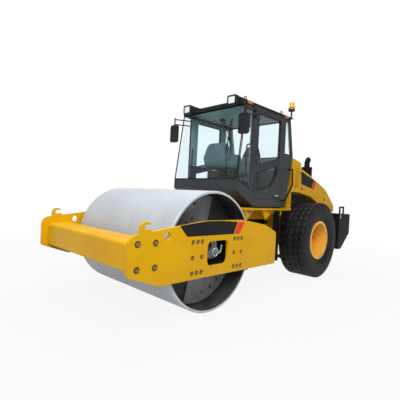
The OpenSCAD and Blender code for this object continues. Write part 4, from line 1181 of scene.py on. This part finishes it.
def hood_catches():
    """Catches on the hood's sides, and clamps on the exhaust stack."""
    mesh = bmesh.new()
    for side in SIDES:
        y = side * HOOD_Y
        for x, z in HOOD_CATCHES:
            seat_at = axle_point(x, y - side * 0.002, z)
            disc(mesh, facing(seat_at, (0, side, 0)), 0.024, 0.008, 0.003, 28)
            slot_end = axle_point(x + 0.014, y + side * 0.0085, z + 0.004)
            box(mesh, axle_point(x - 0.014, y, z - 0.004), slot_end)
    for z, radius in STACK_CLAMPS:
        spot = STACK + Vector((0, 0, z))
        collar(mesh, Matrix.Translation(spot), radius, 0.018, 0.001)
        bolt(mesh, facing(spot + Vector((radius + 0.012, 0.02, 0.009)), (0, -1, 0)), 0.014)
        lug = spot + Vector((radius, -0.012, 0.001))
        box(mesh, lug, lug + Vector((0.024, 0.024, 0.016)), 0.002)
    piece("hood_catches", "hood", "black_paint", mesh)


def tail_lenses():
    mesh = bmesh.new()
    y, z = TAIL_LAMP
    for side in SIDES:
        box(mesh, axle_point(HOOD_TAIL - 0.004, side * y - 0.075, z - 0.035),
            axle_point(HOOD_TAIL + 0.030, side * y + 0.075, z + 0.035), 0.006)
    piece("tail_lenses", "hood", RED_LENS, mesh)


def louvre_mesh():
    """Slats behind the louvres in the hood's tail."""
    mesh = bmesh.new()
    for k in range(5):
        slat = axle_point(HOOD_TAIL + 0.050, -0.38, 1.291 + k * 0.034)
        box(mesh, slat, slat + Vector((0.006, 0.76, 0.020)), 0.001)
    piece("louvre_mesh", "hood", "black_plastic", mesh)


def grille_mesh():
    """Dark screen behind the slots of the cowl's sides."""
    mesh = bmesh.new()
    for side in SIDES:
        y = side * (HOOD_Y - 0.036)
        for k in range(10):
            x = 0.316 + k * 0.0195
            tube(mesh, [axle_point(x, y, 1.675), axle_point(x, y, 2.085)], 0.002, 6)
        for k in range(22):
            z = 1.680 + k * 0.019
            tube(mesh, [axle_point(0.305, y, z), axle_point(0.500, y, z)], 0.002, 6)
        box(mesh, axle_point(0.300, y - side * 0.008, 1.670),
            axle_point(0.505, y - side * 0.004, 2.090), 0.001)
    piece("grille_mesh", "rear", "black_plastic", mesh)


BUMPER_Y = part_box("rear_bumper")[1].y
BUMPER_FACE = -1.165
BUMPER_PLUGS = ((-1.35, 0.62), (-1.60, 0.86))


def bumper_fittings():
    """Reflectors on the bumper's corners, catches on its front face and plugs in its ends."""
    shine, metal, plugs = bmesh.new(), bmesh.new(), bmesh.new()
    for side in SIDES:
        box(shine, axle_point(-1.232, side * (BUMPER_Y - 0.001), 1.105),
            axle_point(-1.205, side * (BUMPER_Y + 0.001), 1.190))
        spot = axle_point(BUMPER_FACE, side * 0.81, 1.008)
        disc(metal, facing(spot, (1, 0, 0)), 0.022, 0.008, 0.002)
        loop = [spot + Vector((0.012, 0.018 * math.cos(a), -0.016 + 0.026 * math.sin(a)))
                for a in turns(20) + [2 * math.pi]]
        tube(metal, loop, 0.005, 10)
        for x, z in BUMPER_PLUGS:
            plug = facing(axle_point(x, side * (BUMPER_Y - 0.0015), z), (0, side, 0))
            disc(plugs, plug, 0.026, 0.0025, 0.001, 32)
    piece("reflectors", "rear", YELLOW_LENS, shine)
    piece("bumper_metal", "rear", "rod_chrome", metal)
    piece("bumper_plugs", "rear", "black_plastic", plugs)


STEP_REAR = 0.800
STEP_INSIDE = 0.675
STEP_TOPS = (0.465, 0.755, 1.045)
GUSSET_BOLTS = (1.80, 1.18)
GRIP_STUD = [(0.0075, 0), (0.0075, 0.003), (0.004, 0.005), (0.003, 0.002)]
GRIP_PITCH = 0.030


def step_grips():
    """Raised grip studs on the steps' treads, and bolts under the cab's platform."""
    mesh, bolts = bmesh.new(), bmesh.new()
    for side in SIDES:
        for z, row, k in itertools.product(STEP_TOPS, range(4), range(9)):
            x = STEP_REAR + (k + 1) * GRIP_PITCH
            y = side * (STEP_INSIDE + 0.018 + row * GRIP_PITCH)
            revolve(mesh, GRIP_STUD, facing(axle_point(x, y, z), (0, 0, 1)), 10)
        for x in GUSSET_BOLTS:
            for shift in (-0.035, 0.035):
                bolt(bolts, facing(axle_point(x + shift, side * 0.700, 1.235), (0, side, 0)), 0.024)
    piece("step_grips", "rear", "black_paint", mesh)
    piece("platform_bolts", "rear", BOLT_STEEL, bolts)


# Camera, floor and light

CAMERA = (4.7721, 3.8102, 1.4522)
CAMERA_YAW = math.radians(-134.995)
CAMERA_PITCH = math.radians(-0.740)
CAMERA_ROLL = math.radians(2.856)
FOCAL_PX = 325.665
IMAGE_PX = 400
SENSOR_MM = 36.0
FLOOR_HALF = 60
# Distances from the middle between which the floor's shadows fade out
FLOOR_FADE = (4.0, 9.0)
# Strength of the white sky as a light; to the camera it shows plain white
SKY_LIGHT = 0.43
# Lamps: name, place, target, size and power
LAMPS = (("key", (7, 6, 8), (0.5, 0, 1), 6, 900), ("top", (-1, -1, 9), (0, 0, 1), 8, 560),
         ("rim", (-7, -5, 6), (0, 0, 1), 5, 420))


def camera():
    data = bpy.data.cameras.new("camera")
    data.sensor_width = SENSOR_MM
    data.lens = SENSOR_MM * FOCAL_PX / IMAGE_PX
    data.clip_end = 200
    flat = math.cos(CAMERA_PITCH)
    ahead = Vector((flat * math.cos(CAMERA_YAW), flat * math.sin(CAMERA_YAW), math.sin(CAMERA_PITCH)))
    made = bpy.data.objects.new("camera", data)
    made.matrix_world = facing(CAMERA, -ahead, CAMERA_ROLL)
    scene.collection.objects.link(made)
    scene.camera = made


def floor():
    """Pale floor that shows white to the camera and keeps a soft shadow."""
    made = Finish("floor", Roughness=0.9)
    made.colour(made.noise(0.6, 2), rgb(168, 168, 168), rgb(178, 178, 178))
    rays = made.add("LightPath").outputs
    seen = made.math("MAXIMUM", rays["Is Camera Ray"],
                     made.math("MAXIMUM", rays["Is Glossy Ray"], rays["Is Transmission Ray"]))
    white = made.add("Emission", {"Color": (1, 1, 1, 1), "Strength": 1.0})
    reach = made.add("VectorMath", {0: made.place}, operation="LENGTH").outputs["Value"]
    share = made.times(seen, made.span(reach, *FLOOR_FADE, 0.90, 1.0))
    mixed = made.add("MixShader", {0: share, 1: made.shader.outputs[0], 2: white.outputs[0]})
    made.tree.links.new(mixed.outputs[0], made.tree.nodes["Material Output"].inputs["Surface"])
    mesh = bmesh.new()
    bmesh.ops.create_grid(mesh, x_segments=1, y_segments=1, size=FLOOR_HALF)
    plane = in_scene("floor", mesh, made.material)


def lamp(name, spot, target, size, power):
    data = bpy.data.lights.new(name, "AREA")
    data.shape = "DISK"
    data.size = size
    data.energy = power
    made = bpy.data.objects.new(name, data)
    made.location = spot
    made.rotation_euler = (Vector(target) - Vector(spot)).to_track_quat("-Z", "Y").to_euler()
    made.visible_camera = False
    made.visible_transmission = False
    scene.collection.objects.link(made)


def light():
    world = bpy.data.worlds.new("studio")
    world.use_nodes = True
    tree = world.node_tree
    back = tree.nodes["Background"]
    back.inputs["Color"].default_value = (1, 1, 1, 1)
    rays = tree.nodes.new("ShaderNodeLightPath").outputs
    seen = tree.nodes.new("ShaderNodeMath")
    seen.operation = "MAXIMUM"
    tree.links.new(rays["Is Camera Ray"], seen.inputs[0])
    tree.links.new(rays["Is Transmission Ray"], seen.inputs[1])
    level = tree.nodes.new("ShaderNodeMapRange")
    level.inputs["To Min"].default_value = SKY_LIGHT
    tree.links.new(seen.outputs[0], level.inputs[0])
    tree.links.new(level.outputs[0], back.inputs["Strength"])
    scene.world = world
    for row in LAMPS:
        lamp(*row)
    scene.view_settings.view_transform = "Standard"


yoke_bolts()
decals()
welds()
motor_fittings()
carrier_bolts()
tyres()
wheel_fittings()
window_seals()
wiper()
lamp_lenses()
mirror_faces()
roof_rings()
door_handles()
seat_pads()
seat_shell()
seat_seams()
instruments()
levers()
pedals()
floor_mat()
cab_rails()
hood_catches()
tail_lenses()
louvre_mesh()
grille_mesh()
bumper_fittings()
step_grips()
camera()
floor()
light()
